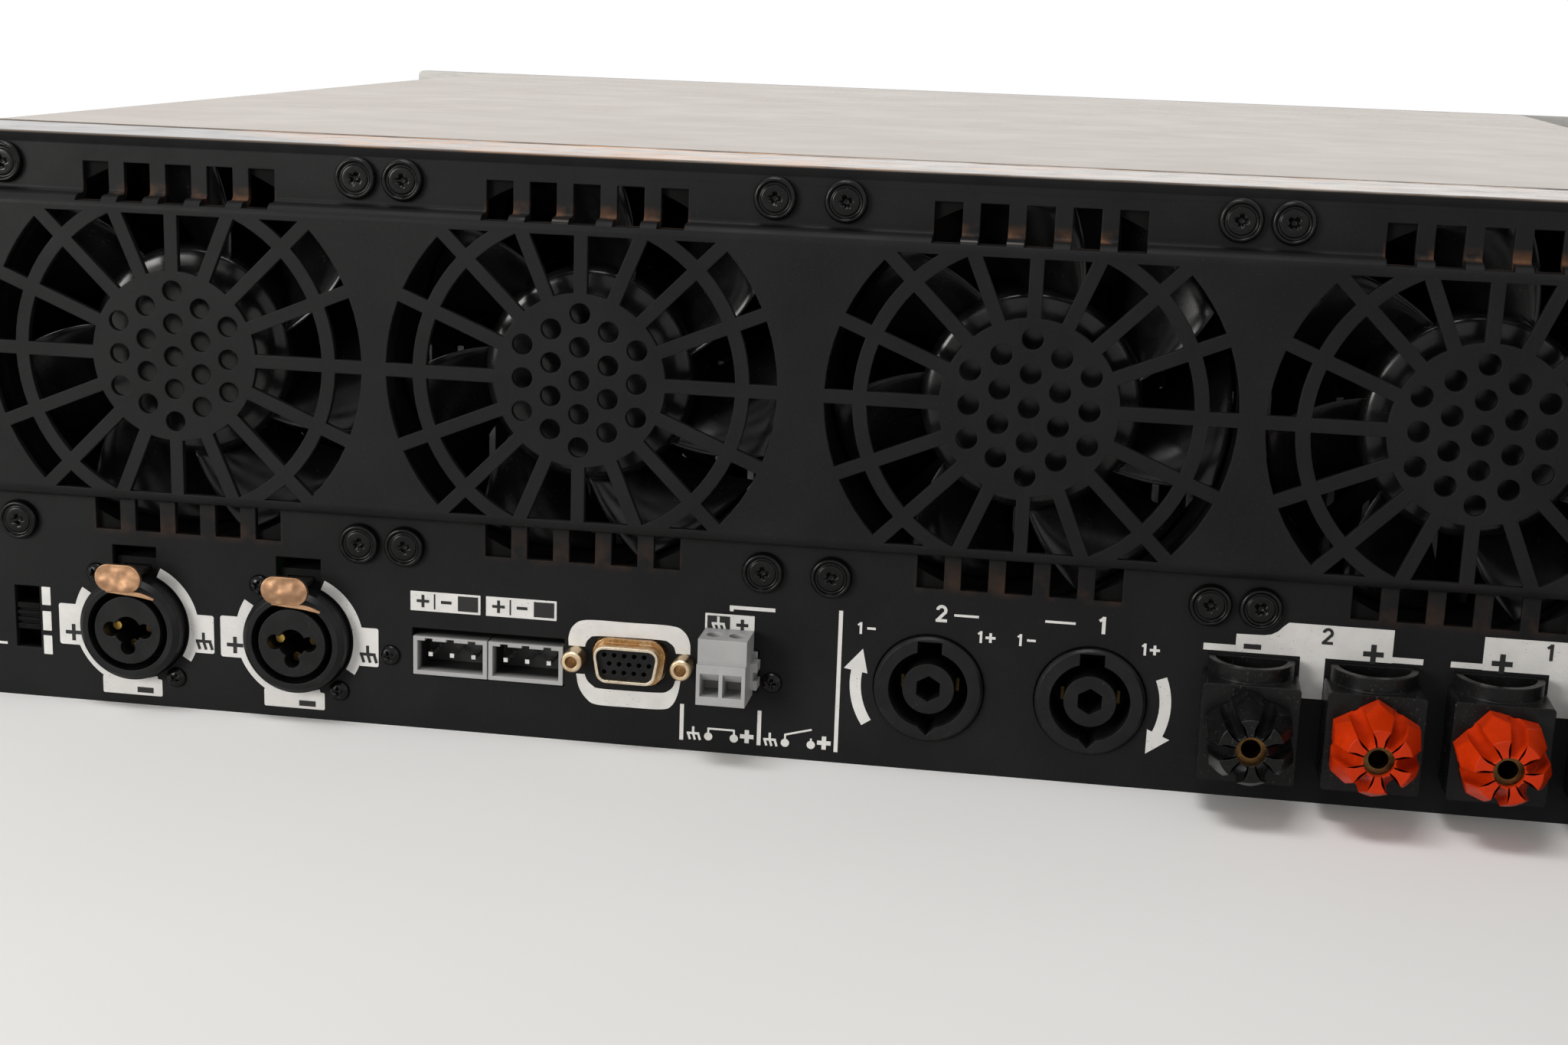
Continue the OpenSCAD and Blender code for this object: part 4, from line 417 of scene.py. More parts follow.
def signal_lens(name):
    """Clear lamp lenses, tinted by height: green below, then amber, and red at the top."""
    f = Finish(name, (0.05, 0.2, 0.06), 0.12, coat=0.3)
    amber_z, red_z = 96, 104
    low = f.blend(f.maths("GREATER_THAN", f.z, amber_z * MM), (0.04, 0.2, 0.06), (0.42, 0.2, 0.02))
    tint = f.blend(f.maths("GREATER_THAN", f.z, red_z * MM), low, (0.4, 0.03, 0.02))
    f.feed("Base Color", f.blend(f.spread(f.noise(1.2, 2), 0.35, 0.7), tint, (0.3, 0.3, 0.28)))
    f.surface(f.noise(0.8, 2), 0.02, 0.1, 0.1)
    return f.material


def open_foam(name, colour):
    """Open-celled foam: deep round cells of uneven size, whose pits are painted darker as painted shade."""
    f = Finish(name, colour, 0.9, specular=0.1)
    cells = f.node("ShaderNodeTexVoronoi", {"Vector": f.place, "Scale": 1 / (2.2 * MM)}).outputs["Distance"]
    # Painted shade: darker in the cells' pits
    f.feed("Base Color", f.blend(f.spread(cells, 0.15, 0.7), tuple(c * 0.25 for c in colour), colour))
    f.surface(cells, 0.6, 0.8, 0.3)
    return f.material


panel_paint = worn_panel_coat("panel_paint", (0.006, 0.006, 0.0062), 0.48, 0.1)
case_paint = case_coat("case_paint", (0.011, 0.011, 0.0114), 0.4, 0.3)
rack_paint = rack_coat("rack_paint", (0.011, 0.011, 0.0114), 0.4, 0.3)
cover_paint = cover_coat("cover_paint", (0.014, 0.0132, 0.0125), 0.19)
black_screw = moulded("black_screw", (0.002, 0.002, 0.002), 0.17, 0.5, 0.03, dusty=0.02, specular=0.17)
fan_plastic = moulded("fan_plastic", (0.004, 0.004, 0.004), 0.66, 0.5, 0.2, specular=0.04)
blade_plastic = moulded("blade_plastic", (0.004, 0.004, 0.0042), 0.2, 1.2, 0.05, dusty=0.06, specular=0.25)
# The sockets' plastic is painted near black behind the panel's face: painted shade
socket_plastic = moulded("socket_plastic", (0.0055, 0.0055, 0.0057), 0.34, 0.3, 0.25, dusty=0.06,
                         specular=0.16, inside=True)
dark_plastic = moulded("dark_plastic", (0.0015, 0.0015, 0.0015), 0.45, 0.3, 0.2, dusty=0.03, specular=0.06)
block_plastic = moulded("block_plastic", (0.0045, 0.0045, 0.0046), 0.26, 0.6, 0.15, dusty=0.12,
                        edge=0.4, specular=0.14)
grey_plastic = header_plastic("grey_plastic", (0.335, 0.335, 0.332))
red_plastic = moulded("red_plastic", (0.37, 0.02, 0.001), 0.24, 0.8, 0.08, dusty=0.03, edge=0.4, specular=0.1)
knob_plastic = moulded("knob_plastic", (0.003, 0.003, 0.0031), 0.24, 0.8, 0.1, dusty=0.1,
                       edge=0.4, specular=0.16)
latch_copper = latch_plate("latch_copper", (0.3, 0.175, 0.1), (0.24, 0.135, 0.075))
spring_copper = bare_metal("spring_copper", (0.4, 0.24, 0.14), (0.3, 0.17, 0.09), 0.36)
gilt = bare_metal("gilt", (0.66, 0.52, 0.34), (0.4, 0.25, 0.13), 0.32)
brass = bare_metal("brass", (0.72, 0.5, 0.22), (0.36, 0.21, 0.09), 0.28)
# Input contacts: gold where painted as lit, near black where painted as shaded
shaded_gilt = contact_gilt("shaded_gilt", (0.5, 0.32, 0.08), (0.035, 0.024, 0.01))
# A darkened copy of brass for the posts' studs: painted shade in the knobs' holes
shaded_stud_brass = bare_metal("shaded_stud_brass", (0.13, 0.07, 0.025), (0.03, 0.016, 0.007), 0.3)
shell_bronze = bronze_shell("shell_bronze", (0.66, 0.58, 0.45), (0.36, 0.21, 0.09))
tin = bare_metal("tin", (0.78, 0.78, 0.76), (0.55, 0.55, 0.54), 0.24)
alloy = bare_metal("alloy", (0.55, 0.56, 0.58), (0.4, 0.41, 0.43), 0.4, brush=(1, 12, 1))
board_green = moulded("board_green", (0.02, 0.1, 0.04), 0.4, 1.5, 0.2)
sleeve_blue = moulded("sleeve_blue", (0.02, 0.035, 0.1), 0.3, 0.6, 0.1)
winding = moulded("winding", (0.35, 0.13, 0.03), 0.4, 0.9, 0.6)
lens_plastic = signal_lens("lens_plastic")
filter_foam = open_foam("filter_foam", (0.012, 0.012, 0.012))
white_ink = screen_print("white_ink", (0.64, 0.63, 0.61))
black_ink = screen_print("black_ink", (0.01, 0.01, 0.01))

FINISH_OF_SLOT = {
    "black_coat": case_paint, "black_screw": black_screw, "black_plastic": socket_plastic,
    "fan_plastic": fan_plastic, "blade_plastic": blade_plastic, "grey_plastic": grey_plastic,
    "copper": latch_copper, "tin": tin, "gilt": gilt, "brass": brass, "aluminium": alloy,
    "red_knob": red_plastic, "black_knob": knob_plastic, "lens": lens_plastic,
    "board": board_green, "sleeve": sleeve_blue, "winding": winding,
}
FINISH_OF_NODE = {
    "rear_panel": panel_paint, "top_cover": cover_paint, "rack_panel": rack_paint,
    "mode_switch": dark_plastic, "mode_slider": dark_plastic, "socket_contacts": shaded_gilt,
    "data_shell": shell_bronze, "post_studs": shaded_stud_brass,
}
for i in range(len(POST_X)):
    FINISH_OF_NODE[f"post_block_{i + 1}"] = block_plastic
for row in frame["record"]["subparts"]:
    finish = FINISH_OF_NODE.get(row["node"], FINISH_OF_SLOT[row["material_slot"]])
    nodes[row["node"]].data.materials.clear()
    nodes[row["node"]].data.materials.append(finish)


# Screws

def turned(profile, turns, recess=None):
    """A turned piece in (x, y, out): the profile's radius and height carried round the axis, and on a screw
    head lowered by the driver's recess at each point."""
    angle = np.linspace(0, 2 * np.pi, turns, endpoint=False)
    r, h = profile[:, :1], profile[:, 1:]
    x, y = r * np.cos(angle), r * np.sin(angle)
    return x, y, h if recess is None else h - recess(x, y)


def cross_recess(turn, arm, width, depth):
    """Depth of a cross-shaped recess: full in the middle, sloping up towards the ends of its two arms."""
    def lowered(x, y):
        u, v = math.cos(turn) * x + math.sin(turn) * y, math.cos(turn) * y - math.sin(turn) * x

        def along(a, b):
            slope = np.clip((arm - abs(a)) / (0.7 * arm), 0, 1)
            return slope * np.clip((width - abs(b)) / (0.45 * width), 0, 1)
        return depth * np.maximum(along(u, v), along(v, u))
    return lowered


def with_base(profile):
    """The profile, closed by a flat base from its rim to the axis."""
    return np.vstack([profile, [(profile[-1, 0] * 0.5, profile[-1, 1]), (0, profile[-1, 1])]])


# Profiles as radius and height, and crosses as the arm, width and depth of the recess
FAN_HEAD = with_base(smooth_line(
    [(0, 1.5), (0.45, 1.5), (0.9, 1.5), (1.4, 1.5), (2.1, 1.5), (2.7, 1.47), (2.92, 1.36), (3.04, 1.2),
     (3.28, 1.16), (3.46, 1.26), (3.62, 1.52), (3.82, 1.75), (4.05, 1.76), (4.3, 1.62), (4.52, 1.35),
     (4.66, 1.0), (4.72, 0.6), (4.68, 0.0)], 3))
SMALL_HEAD = with_base(smooth_line(
    [(0, 1.45), (0.6, 1.43), (1.2, 1.31), (1.7, 1.08), (2.1, 0.76), (2.35, 0.4), (2.4, 0.0)], 6))
COVER_HEAD = with_base(smooth_line(
    [(0, 1.78), (0.9, 1.75), (1.8, 1.6), (2.6, 1.3), (3.2, 0.9), (3.5, 0.45), (3.58, 0.0)], 6))
FAN_CROSS, SMALL_CROSS, COVER_CROSS = (1.6, 0.58, 1.05), (1.35, 0.36, 0.9), (2.0, 0.5, 1.1)
FAN_HEAD_TURNS, HEAD_TURNS = 80, 64

heads = []
for i, fan in enumerate(FAN_X):
    for j, (sx, sz) in enumerate(((-1, 1), (1, 1), (-1, -1), (1, -1))):
        turn = 0.25 + 1.7 * i + 0.83 * j + 0.3 * math.sin(5 * i + 3 * j)
        x, y, out = turned(FAN_HEAD, FAN_HEAD_TURNS, cross_recess(turn, *FAN_CROSS))
        heads.append((on_panel(fan + sx * FAN_SCREW + x, FAN_Z + sz * FAN_SCREW + y, out), True))
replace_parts(make_piece("fan_screw_heads", heads, black_screw, "chassis"), "fan_screws")

small = []
jack_screws = [(x - s * JACK_SCREW[0], JACK_Z + s * JACK_SCREW[1]) for x in JACK_X for s in (-1, 1)]
for i, (across, up) in enumerate(PANEL_SCREWS + jack_screws):
    x, y, out = turned(SMALL_HEAD, HEAD_TURNS, cross_recess(0.4 + 1.1 * i, *SMALL_CROSS))
    small.append((on_panel(across + x, up + y, out), True))
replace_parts(make_piece("small_screw_heads", small, black_screw, "chassis"), "panel_screws")

sides = []
for side in (-1, 1):
    for k in range(COVER_SCREWS):
        x, y, out = turned(COVER_HEAD, HEAD_TURNS, cross_recess(0.3 + 0.9 * k + side, *COVER_CROSS))
        sides.append((on_side(side, COVER_SCREW_Y + COVER_SCREW_STEP * k + x, COVER_SCREW_Z + y, out), True))
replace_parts(make_piece("cover_screw_heads", sides, black_screw, "chassis"), "cover_screws")


# Latch springs

def flat_strip(path, width, thickness):
    """A strip along a path of (across, up, out): at each point a rectangle that is width wide square to the
    path and thickness deep along out. Both ends close to a point."""
    p = np.asarray(path, float)
    way = np.gradient(p[:, :2], axis=0)
    way /= np.linalg.norm(way, axis=1)[:, None]
    across = np.stack([-way[:, 1], way[:, 0], 0 * way[:, 0]], -1) * np.asarray(width, float)[:, None] / 2
    deep = np.array([0, 0, thickness / 2])
    ring = np.stack([p - across - deep, p + across - deep, p + across + deep, p - across + deep], 1)
    return np.concatenate([ring[:1].mean(axis=1, keepdims=True).repeat(4, 1), ring,
                           ring[-1:].mean(axis=1, keepdims=True).repeat(4, 1)])


# The spring's middle line, with across counted from the socket's axis, and its width along it
SPRING_LINE = [(-3.4, 29.75, 7.95), (0.5, 29.4, 7.95), (4.2, 29.1, 7.95), (6.4, 28.6, 7.9), (8.0, 28.1, 7.8)]
SPRING_PLACES, SPRING_WIDTHS, SPRING_T = (0, 0.6, 1), (1.1, 1.0, 0.4), 0.6

for i, x in enumerate(JACK_X):
    path = smooth_line([(x + across, up, out) for across, up, out in SPRING_LINE], 4)
    width = np.interp(np.linspace(0, 1, len(path)), SPRING_PLACES, SPRING_WIDTHS)
    strip = flat_strip(path, width, SPRING_T)
    grid = on_panel(strip[..., 0], strip[..., 1], strip[..., 2])
    make_piece(f"latch_spring_{i + 1}", [(grid, True)], spring_copper, f"latch_{i + 1}", False)


# Binding-post knobs

KNOB_BACK, KNOB_LEN, KNOB_PLAIN = 12.3, 11.2, 3.4
KNOB_CORNER, KNOB_TOP = 10.2, 6.8
KNOB_FLAT = KNOB_CORNER * math.cos(math.pi / 6)
FLUTE_R, FLUTE_DEEP = 1.65, (8.6, 3.3)
HOLE_R, HOLE_DEEP, BORE_R = 3.2, 1.7, 3.65
RECESS_R, RECESS_DEEP = 6.9, 0.8
KNOB_TURNS, RED_KNOBS = (6, 0, 18, 20), (1, 2)


def fluted_knob(turn):
    """A six-sided knob in (across, up, out), cut by a cone towards its front. Along the knob h goes from back
    to front. Round it, each twelfth goes from the middle of a flute up its round bottom and straight side,
    and on over the flat or the cone to a corner; its mirror image goes down to the next flute. The wall is
    then carried over the front, through the hole and the stud's bore, and round the washer's recess back to
    where it began."""
    h = np.concatenate([[0, 0.1, 0.3], np.linspace(0.7, KNOB_PLAIN, 7), np.linspace(3.7, KNOB_LEN - 0.4, 22),
                        [KNOB_LEN - 0.15, KNOB_LEN - 0.05, KNOB_LEN]])[:, None]
    cone = KNOB_CORNER - (KNOB_CORNER - KNOB_TOP) * np.clip((h - KNOB_PLAIN) / (KNOB_LEN - KNOB_PLAIN), 0, 1)
    centre = FLUTE_R + np.interp(h, (0, KNOB_LEN), FLUTE_DEEP)
    at_flat = (centre - KNOB_FLAT) / FLUTE_R
    at_cone = (centre ** 2 + FLUTE_R ** 2 - cone ** 2) / (2 * FLUTE_R * centre)
    cut = np.maximum(at_flat, at_cone)
    bend = np.arccos(np.clip(cut, 0, 1))
    straight = np.clip(np.minimum(KNOB_FLAT, np.sqrt(cone ** 2 - FLUTE_R ** 2)) - centre, 0, None) * (cut < 0)
    way = (FLUTE_R * bend + straight) * np.sin(np.linspace(0, np.pi / 2, 10))
    arc = np.minimum(way / FLUTE_R, bend)
    flute = centre - FLUTE_R * np.exp(-1j * arc) + np.clip(way - FLUTE_R * bend, 0, None)
    start = np.angle(flute[:, -1:])
    angle = start + (np.pi / 6 - start) * (1 - np.cos(np.linspace(0, np.pi, 13)[1:])) / 2
    half = np.concatenate([flute, np.minimum(KNOB_FLAT / np.cos(angle), cone) * np.exp(1j * angle)], axis=1)
    sixth = np.exp(1j * np.pi / 3)
    sector = np.concatenate([half, (np.conj(half) * sixth)[:, -2:0:-1]], axis=1)
    wall = np.concatenate([sector * sixth ** k for k in range(6)], axis=1)
    front, back = wall[-1] / abs(wall[-1]), wall[0] / abs(wall[0])
    hole, recess = HOLE_R * front, RECESS_R * back
    lip, rim = wall[-1] - hole, wall[0] - recess
    step = KNOB_LEN - HOLE_DEEP
    front_bore, back_bore = BORE_R * front, BORE_R * back
    inner = [(hole + 0.97 * lip, KNOB_LEN), (hole + 0.03 * lip, KNOB_LEN), (hole, KNOB_LEN),
             (hole, KNOB_LEN - 0.1), (hole, step + 0.1), (hole, step), (front_bore, step),
             (front_bore, step - 0.1), (back_bore, RECESS_DEEP + 0.1), (back_bore, RECESS_DEEP),
             (recess, RECESS_DEEP), (recess, 0.1), (recess, 0), (recess + 0.03 * rim, 0),
             (recess + 0.97 * rim, 0), (wall[0], 0)]
    flat = np.concatenate([wall, np.array([ring for ring, _ in inner])]) * np.exp(1j * turn)
    out = KNOB_BACK + np.concatenate([h[:, 0], [up for _, up in inner]])[:, None]
    return flat.real, flat.imag, out


for i, (post, turn) in enumerate(zip(POST_X, KNOB_TURNS)):
    x, y, out = fluted_knob(math.radians(turn))
    plastic, slot = (red_plastic, "red_knob") if i in RED_KNOBS else (knob_plastic, "black_knob")
    grid = on_panel(post + x, POST_Z + y, out)
    knob = make_piece(f"fluted_knob_{i + 1}", [(grid, True)], plastic, f"knob_{i + 1}")
    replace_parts(knob, f"post_knob_{i + 1}")


# Fan rotors

HUB_R, TIP_R = 24.0, 43.2
ROTOR_FRONT, ROTOR_BACK = -3.5, -21.9
BLADE_LEN = ROTOR_FRONT - ROTOR_BACK - 2
BLADES = 7
HUB_WALL, HUB_TURNS = 2, 72
SHAFT_R, SHAFT_END = 1.5, -25.0
TWIST, SWEEP = math.radians(-38), math.radians(16)


def blade(turn):
    """One fan blade. Across the blade s goes from its back edge to its front edge and the surface winds by
    TWIST; along the blade t goes from hub to tip and the blade sweeps by SWEEP. The skin lies on both sides
    of that surface, at half a thickness that rounds off at the edges and closes at the root and the tip."""
    t = np.concatenate([[0, 0.012], np.linspace(0.09, 0.93, 10), [0.97, 0.99, 1]])[:, None]
    round_trip = np.linspace(0, 2 * np.pi, 36, endpoint=False)[None, :]
    s = (1 - np.cos(round_trip)) / 2
    side = np.sign(np.sin(round_trip) + 1e-9)
    r = HUB_R - 0.6 + t * (TIP_R - HUB_R + 0.6)
    ends = np.sqrt(np.clip((1 - t) * 14, 0, 1)) * (t > 0)
    half = (0.95 - 0.3 * t) * np.sqrt(np.clip(1 - (2 * s - 1) ** 4, 0, 1)) * ends
    run, rise = TWIST * r, BLADE_LEN
    size = np.hypot(run, rise)
    angle = turn + SWEEP * t + TWIST * s + side * half * (rise / size) / r
    out = ROTOR_BACK + 1 + BLADE_LEN * s - side * half * (run / size) + 0.8 * np.sin(np.pi * s) * t
    return r * np.cos(angle), r * np.sin(angle), out


# The hub is a cup: round its front edge, down the wall, up inside it, and down round the shaft
HUB = np.vstack([
    smooth_line([(0.0, ROTOR_FRONT), (8, ROTOR_FRONT), (16, ROTOR_FRONT), (20.5, ROTOR_FRONT),
                 (22.6, ROTOR_FRONT - 0.5), (23.7, ROTOR_FRONT - 1.7), (HUB_R, ROTOR_FRONT - 3.4),
                 (HUB_R, ROTOR_FRONT - 8), (HUB_R, ROTOR_BACK)], 5),
    [(HUB_R - HUB_WALL, ROTOR_BACK), (HUB_R - HUB_WALL, ROTOR_FRONT - HUB_WALL),
     (SHAFT_R, ROTOR_FRONT - HUB_WALL), (SHAFT_R, SHAFT_END), (0, SHAFT_END)]])
for i, fan in enumerate(FAN_X):
    x, y, out = turned(HUB, HUB_TURNS)
    patches = [(on_panel(fan + x, FAN_Z + y, out), True)]
    for b in range(BLADES):
        x, y, out = blade(2 * np.pi * b / BLADES)
        patches.append((on_panel(fan + x, FAN_Z + y, out), True))
    rotor = make_piece(f"rotor_{i + 1}", patches, blade_plastic, f"fan_{i + 1}")
    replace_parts(rotor, f"fan_rotor_{i + 1}")


# Foam behind the rack panel's vents: dark filter sheets, which also keep light out so that the case's inside
# stays in shade

def sheet_block(low, high):
    """A closed box as four rings of four points: a point, the rectangles at both ends, and a point."""
    (x0, y0, z0), (x1, y1, z1) = low, high
    mid = [(0.5 * (y0 + y1), 0.5 * (z0 + z1))] * 4
    face = [(y0, z0), (y1, z0), (y1, z1), (y0, z1)]
    rings = ((x0, mid), (x0, face), (x1, face), (x1, mid))
    return np.array([[(x, y, z) for y, z in outline] for x, outline in rings], float)


FOAM_X, FOAM_W = (-202, 70), 132
FOAM_Y, FOAM_Z = (-219.4, -214.9), (15, 117.5)
sheets = [(sheet_block((x, FOAM_Y[0], FOAM_Z[0]), (x + FOAM_W, FOAM_Y[1], FOAM_Z[1])), True) for x in FOAM_X]
make_piece("intake_foam_shade", sheets, filter_foam, "chassis", False)


# Screen print

white, black = [], []


def between(low, high, layer, out, place=on_panel):
    """Ink between two curves: the surface runs straight from each point of one to the same point of the
    other."""
    a, b = np.asarray(low, float), np.asarray(high, float)
    grid = np.stack([a, b])
    layer.append((place(grid[..., 0], grid[..., 1], out), False))


def bar(x0, z0, x1, z1, width, layer=white, out=INK_OUT, place=on_panel):
    """A straight stroke of even width."""
    d = np.array([x1 - x0, z1 - z0])
    n = np.array([-d[1], d[0]]) / np.hypot(*d) * width / 2
    middle = np.array([(x0, z0), (x1, z1)])
    between(middle - n, middle + n, layer, out, place)


def ring(cx, cz, r0, r1, a0, a1, layer=white, out=INK_OUT, place=on_panel):
    """Part of a ring between two radii, from angle a0 to a1 in degrees."""
    a = np.radians(np.linspace(a0, a1, max(4, int(abs(a1 - a0) / 4))))
    c = np.stack([np.cos(a), np.sin(a)], -1)
    between((cx, cz) + r0 * c, (cx, cz) + r1 * c, layer, out, place)


def rounded_box(x0, z0, x1, z1, r, layer=white, out=INK_OUT):
    """A box whose height at each place across is cut by the quarter circles at its ends."""
    quarter = r * (1 - np.cos(np.linspace(0, np.pi / 2, 6)))
    x = np.concatenate([x0 + quarter, x1 - quarter[::-1]])
    reach = np.clip(np.maximum(x0 + r - x, x - x1 + r), 0, r)
    cut = r - np.sqrt(r * r - reach ** 2)
    between(np.stack([x, z0 + cut], -1), np.stack([x, z1 - cut], -1), layer, out)


def plus(x, z, size, width, layer=white, out=INK_OUT):
    bar(x - size / 2, z, x + size / 2, z, width, layer, out)
    bar(x, z - size / 2, x, z + size / 2, width, layer, out + OVER)


def earth_sign(x, z, size, layer=white, out=INK_OUT):
    """The earth sign of circuit drawings: a stem, a bar and three slanted strokes."""
    bar(x, z, x, z + 0.55 * size, 0.19 * size, layer, out)
    bar(x - 0.5 * size, z, x + 0.5 * size, z, 0.19 * size, layer, out + OVER)
    for k in (-0.4, 0.0, 0.4):
        bar(x + k * size, z, x + (k + 0.16) * size, z - 0.52 * size, 0.18 * size, layer, out + 2 * OVER)


def number_one(x, z, height, layer=white, out=INK_OUT):
    bar(x, z, x, z + height, 0.2 * height, layer, out)
    bar(x - 0.24 * height, z + 0.74 * height, x, z + 0.92 * height, 0.17 * height, layer, out + OVER)


def number_two(x, z, height, layer=white, out=INK_OUT):
    r, half, stroke = 0.23 * height, 0.09 * height, 0.18 * height
    ring(x, z + height - r - half, r - half, r + half, 175, -42, layer, out)
    bar(x + 0.72 * r, z + 0.94 * height - 1.75 * r, x - r, z + 0.1 * height, stroke, layer, out + OVER)
    bar(x - 1.38 * r, z + half, x + 1.38 * r, z + half, stroke, layer, out + 2 * OVER)


def curved_arrow(cx, cz, tail, neck, tip):
    """An arrow bent round a socket, from the tail's angle to the tip's."""
    shaft, barbs, tip_r = (15.1, 17.6), (13.9, 19.3), 16.9
    ring(cx, cz, *shaft, tail, neck)
    a, b = math.radians(neck), math.radians(tip)
    point = (cx + tip_r * math.cos(b), cz + tip_r * math.sin(b))
    between([(cx + r * math.cos(a), cz + r * math.sin(a)) for r in barbs], [point, point], white, INK_OUT)


# Mode switch: three marks beside its window
for z0, z1 in ((22.5, 26.9), (16.3, 21.0), (10.5, 15.1)):
    rounded_box(-178.75, z0, -176.6, z1, 0.15)
bar(-193, 12.5, -187.9, 12.5, 0.6)

# Input sockets: ring segments with boxes for the three poles
for x in JACK_X:
    ring(x, JACK_Z, 13.0, 15.4, 66, -31)
    rounded_box(x + 14.2, JACK_Z - 5.6, x + 19.0, JACK_Z + 3.6, 0.5, out=INK_OUT + OVER)
    ring(x, JACK_Z, 13.0, 15.5, 148, 291)
    rounded_box(x - 19.2, JACK_Z - 6.0, x - 13.6, JACK_Z + 3.9, 0.6, out=INK_OUT + OVER)
    rounded_box(x - 8.8, JACK_Z - 17.1, x + 5.9, JACK_Z - 12.9, 0.4, out=INK_OUT + OVER)
    plus(x - 15.7, JACK_Z - 3.0, 4.0, 0.9, black, SIGN_OUT)
    bar(x - 0.3, JACK_Z - 15.8, x + 3.7, JACK_Z - 15.8, 1.35, black, SIGN_OUT)
    earth_sign(x + 16.4, JACK_Z - 2.7, 3.8, black, SIGN_OUT)

# Pin headers: a plus, a minus and a dark field over each
for x in (-88.9, -71.1):
    rounded_box(x, 28.1, x + 16.5, 32.7, 0.1)
    bar(x + 5.7, 28.65, x + 5.7, 32.25, 0.35, black, SIGN_OUT)
    plus(x + 2.95, 30.45, 2.95, 0.68, black, SIGN_OUT)
    bar(x + 7.2, 30.45, x + 9.7, 30.45, 0.72, black, SIGN_OUT)
    rounded_box(x + 11.2, 28.65, x + 15.95, 32.2, 0.05, black, SIGN_OUT)

# Data socket: a frame above and below
for inner, outer in (
        ([(-47.9, 22.6), (-47.6, 23.7), (-46.8, 24.7), (-45.4, 25.3), (-38.0, 25.5), (-30.2, 25.5),
          (-28.6, 25.1), (-27.4, 24.1), (-26.9, 22.6)],
         [(-51.7, 22.6), (-51.7, 24.9), (-50.6, 27.4), (-47.6, 28.9), (-38.0, 29.0), (-28.2, 29.0),
          (-25.2, 27.9), (-23.8, 25.5), (-23.6, 22.6)]),
        ([(-47.9, 16.1), (-47.3, 14.7), (-46.1, 13.6), (-44.6, 13.0), (-38.0, 12.95), (-30.4, 13.1),
          (-28.5, 13.7), (-27.4, 14.8), (-26.9, 16.3)],
         [(-49.9, 16.1), (-49.2, 12.9), (-47.4, 10.3), (-45.0, 9.1), (-38.0, 9.05), (-30.0, 9.2),
          (-27.6, 10.3), (-26.3, 13.0), (-25.7, 16.3)])):
    between(smooth_line(inner, 5), smooth_line(outer, 5), white, INK_OUT)

# Two-pole plug: its box, lines and the two wiring diagrams
rounded_box(-20.4, 28.2, -9.2, 32.7, 0.1)
rounded_box(-19.9, 28.5, -14.75, 32.2, 0.05, black, SIGN_OUT)
earth_sign(-17.4, 30.4, 3.0, white, SIGN_OUT + 4 * OVER)
plus(-11.95, 30.4, 2.7, 0.75, black, SIGN_OUT)
bar(-14.9, 34.4, -4.6, 34.4, 0.85)
bar(-14.45, 33.5, -14.45, 34.4, 0.85, out=INK_OUT + OVER)
for x, z0, z1 in ((-25.2, 2.4, 10.9), (-7.4, 2.6, 10.8), (10.15, 2.5, 35.5)):
    bar(x, z0, x, z1, 0.9)
for x, lift in ((-19.0, 0.0), (-1.4, 1.7)):
    for dx in (0.0, 5.9):
        ring(x + dx, 3.7, 0.0, 0.95, 0, 360)
        bar(x + dx, 4.2, x + dx, 5.7 if lift == 0 or dx == 0 else 5.2, 0.45, out=INK_OUT + OVER)
    bar(x - 0.2, 5.6, x + 6.0, 5.6 + lift, 0.45, out=INK_OUT + 2 * OVER)
    plus(x + 8.85, 4.4, 3.1, 1.0)
    earth_sign(x - 3.5, 4.2, 2.9)

# Twist-lock sockets: turning arrows, pole marks and channel numbers
curved_arrow(SOCKET_X[0], SOCKET_Z, 214, 170.5, 152)
curved_arrow(SOCKET_X[1], SOCKET_Z, 22.5, -23, -41)
bar(35.2, 36.35, 40.6, 36.35, 0.55)
bar(55.1, 36.5, 61.7, 36.5, 0.55)
number_two(32.4, 34.6, 3.9)
number_one(67.8, 34.6, 3.9)
for x, sign in ((14.7, "-"), (41.3, "+"), (50.0, "-"), (77.0, "+")):
    number_one(x, 30.5, 2.7)
    if sign == "+":
        plus(x + 2.1, 31.8, 2.2, 0.6)
    else:
        bar(x + 1.4, 31.9, x + 3.3, 31.9, 0.55)


# Binding posts: one field for each pair, the second mirrored

def post_field(number, mirror):
    """The field of one pair of posts, in five strips, with a minus, a plus and the channel's number on it."""
    def put(*points):
        return [(POST_X[0] + POST_X[3] - x, z) if mirror else (x, z) for x, z in points]

    def strip(low, high):
        between(put(*low), put(*high), white, INK_OUT)
    strip([(89.4, 32.9), (96.25, 32.9)], [(89.4, 34.4), (96.25, 34.4)])
    strip([(96.2, 32.9), (102.1, 32.9), (103.6, 32.9), (104.9, 32.9), (106.0, 32.9), (107.1, 32.9)],
          [(96.2, 36.95), (102.1, 37.05), (103.6, 37.35), (104.9, 38.1), (106.0, 39.3), (107.1, 40.25)])
    strip([(107.1, 32.9), (129.2, 32.9)], [(107.1, 40.25), (129.2, 40.25)])
    strip([(110.2, 23.6), (115.3, 23.6)], [(110.0, 32.9), (115.3, 32.9)])
    strip([(129.2, 33.0), (135.7, 33.0)], [(129.2, 34.3), (135.7, 34.3)])
    minus_from, minus_to, plus_at, number_at = put((97.9, 34.3), (101.6, 34.3), (125.2, 34.6), (115.4, 36.0))
    bar(*minus_from, *minus_to, 1.15, black, SIGN_OUT)
    plus(*plus_at, 4.3, 1.15, black, SIGN_OUT)
    number(*number_at, 3.7, black, SIGN_OUT)


post_field(number_two, mirror=False)
post_field(number_one, mirror=True)

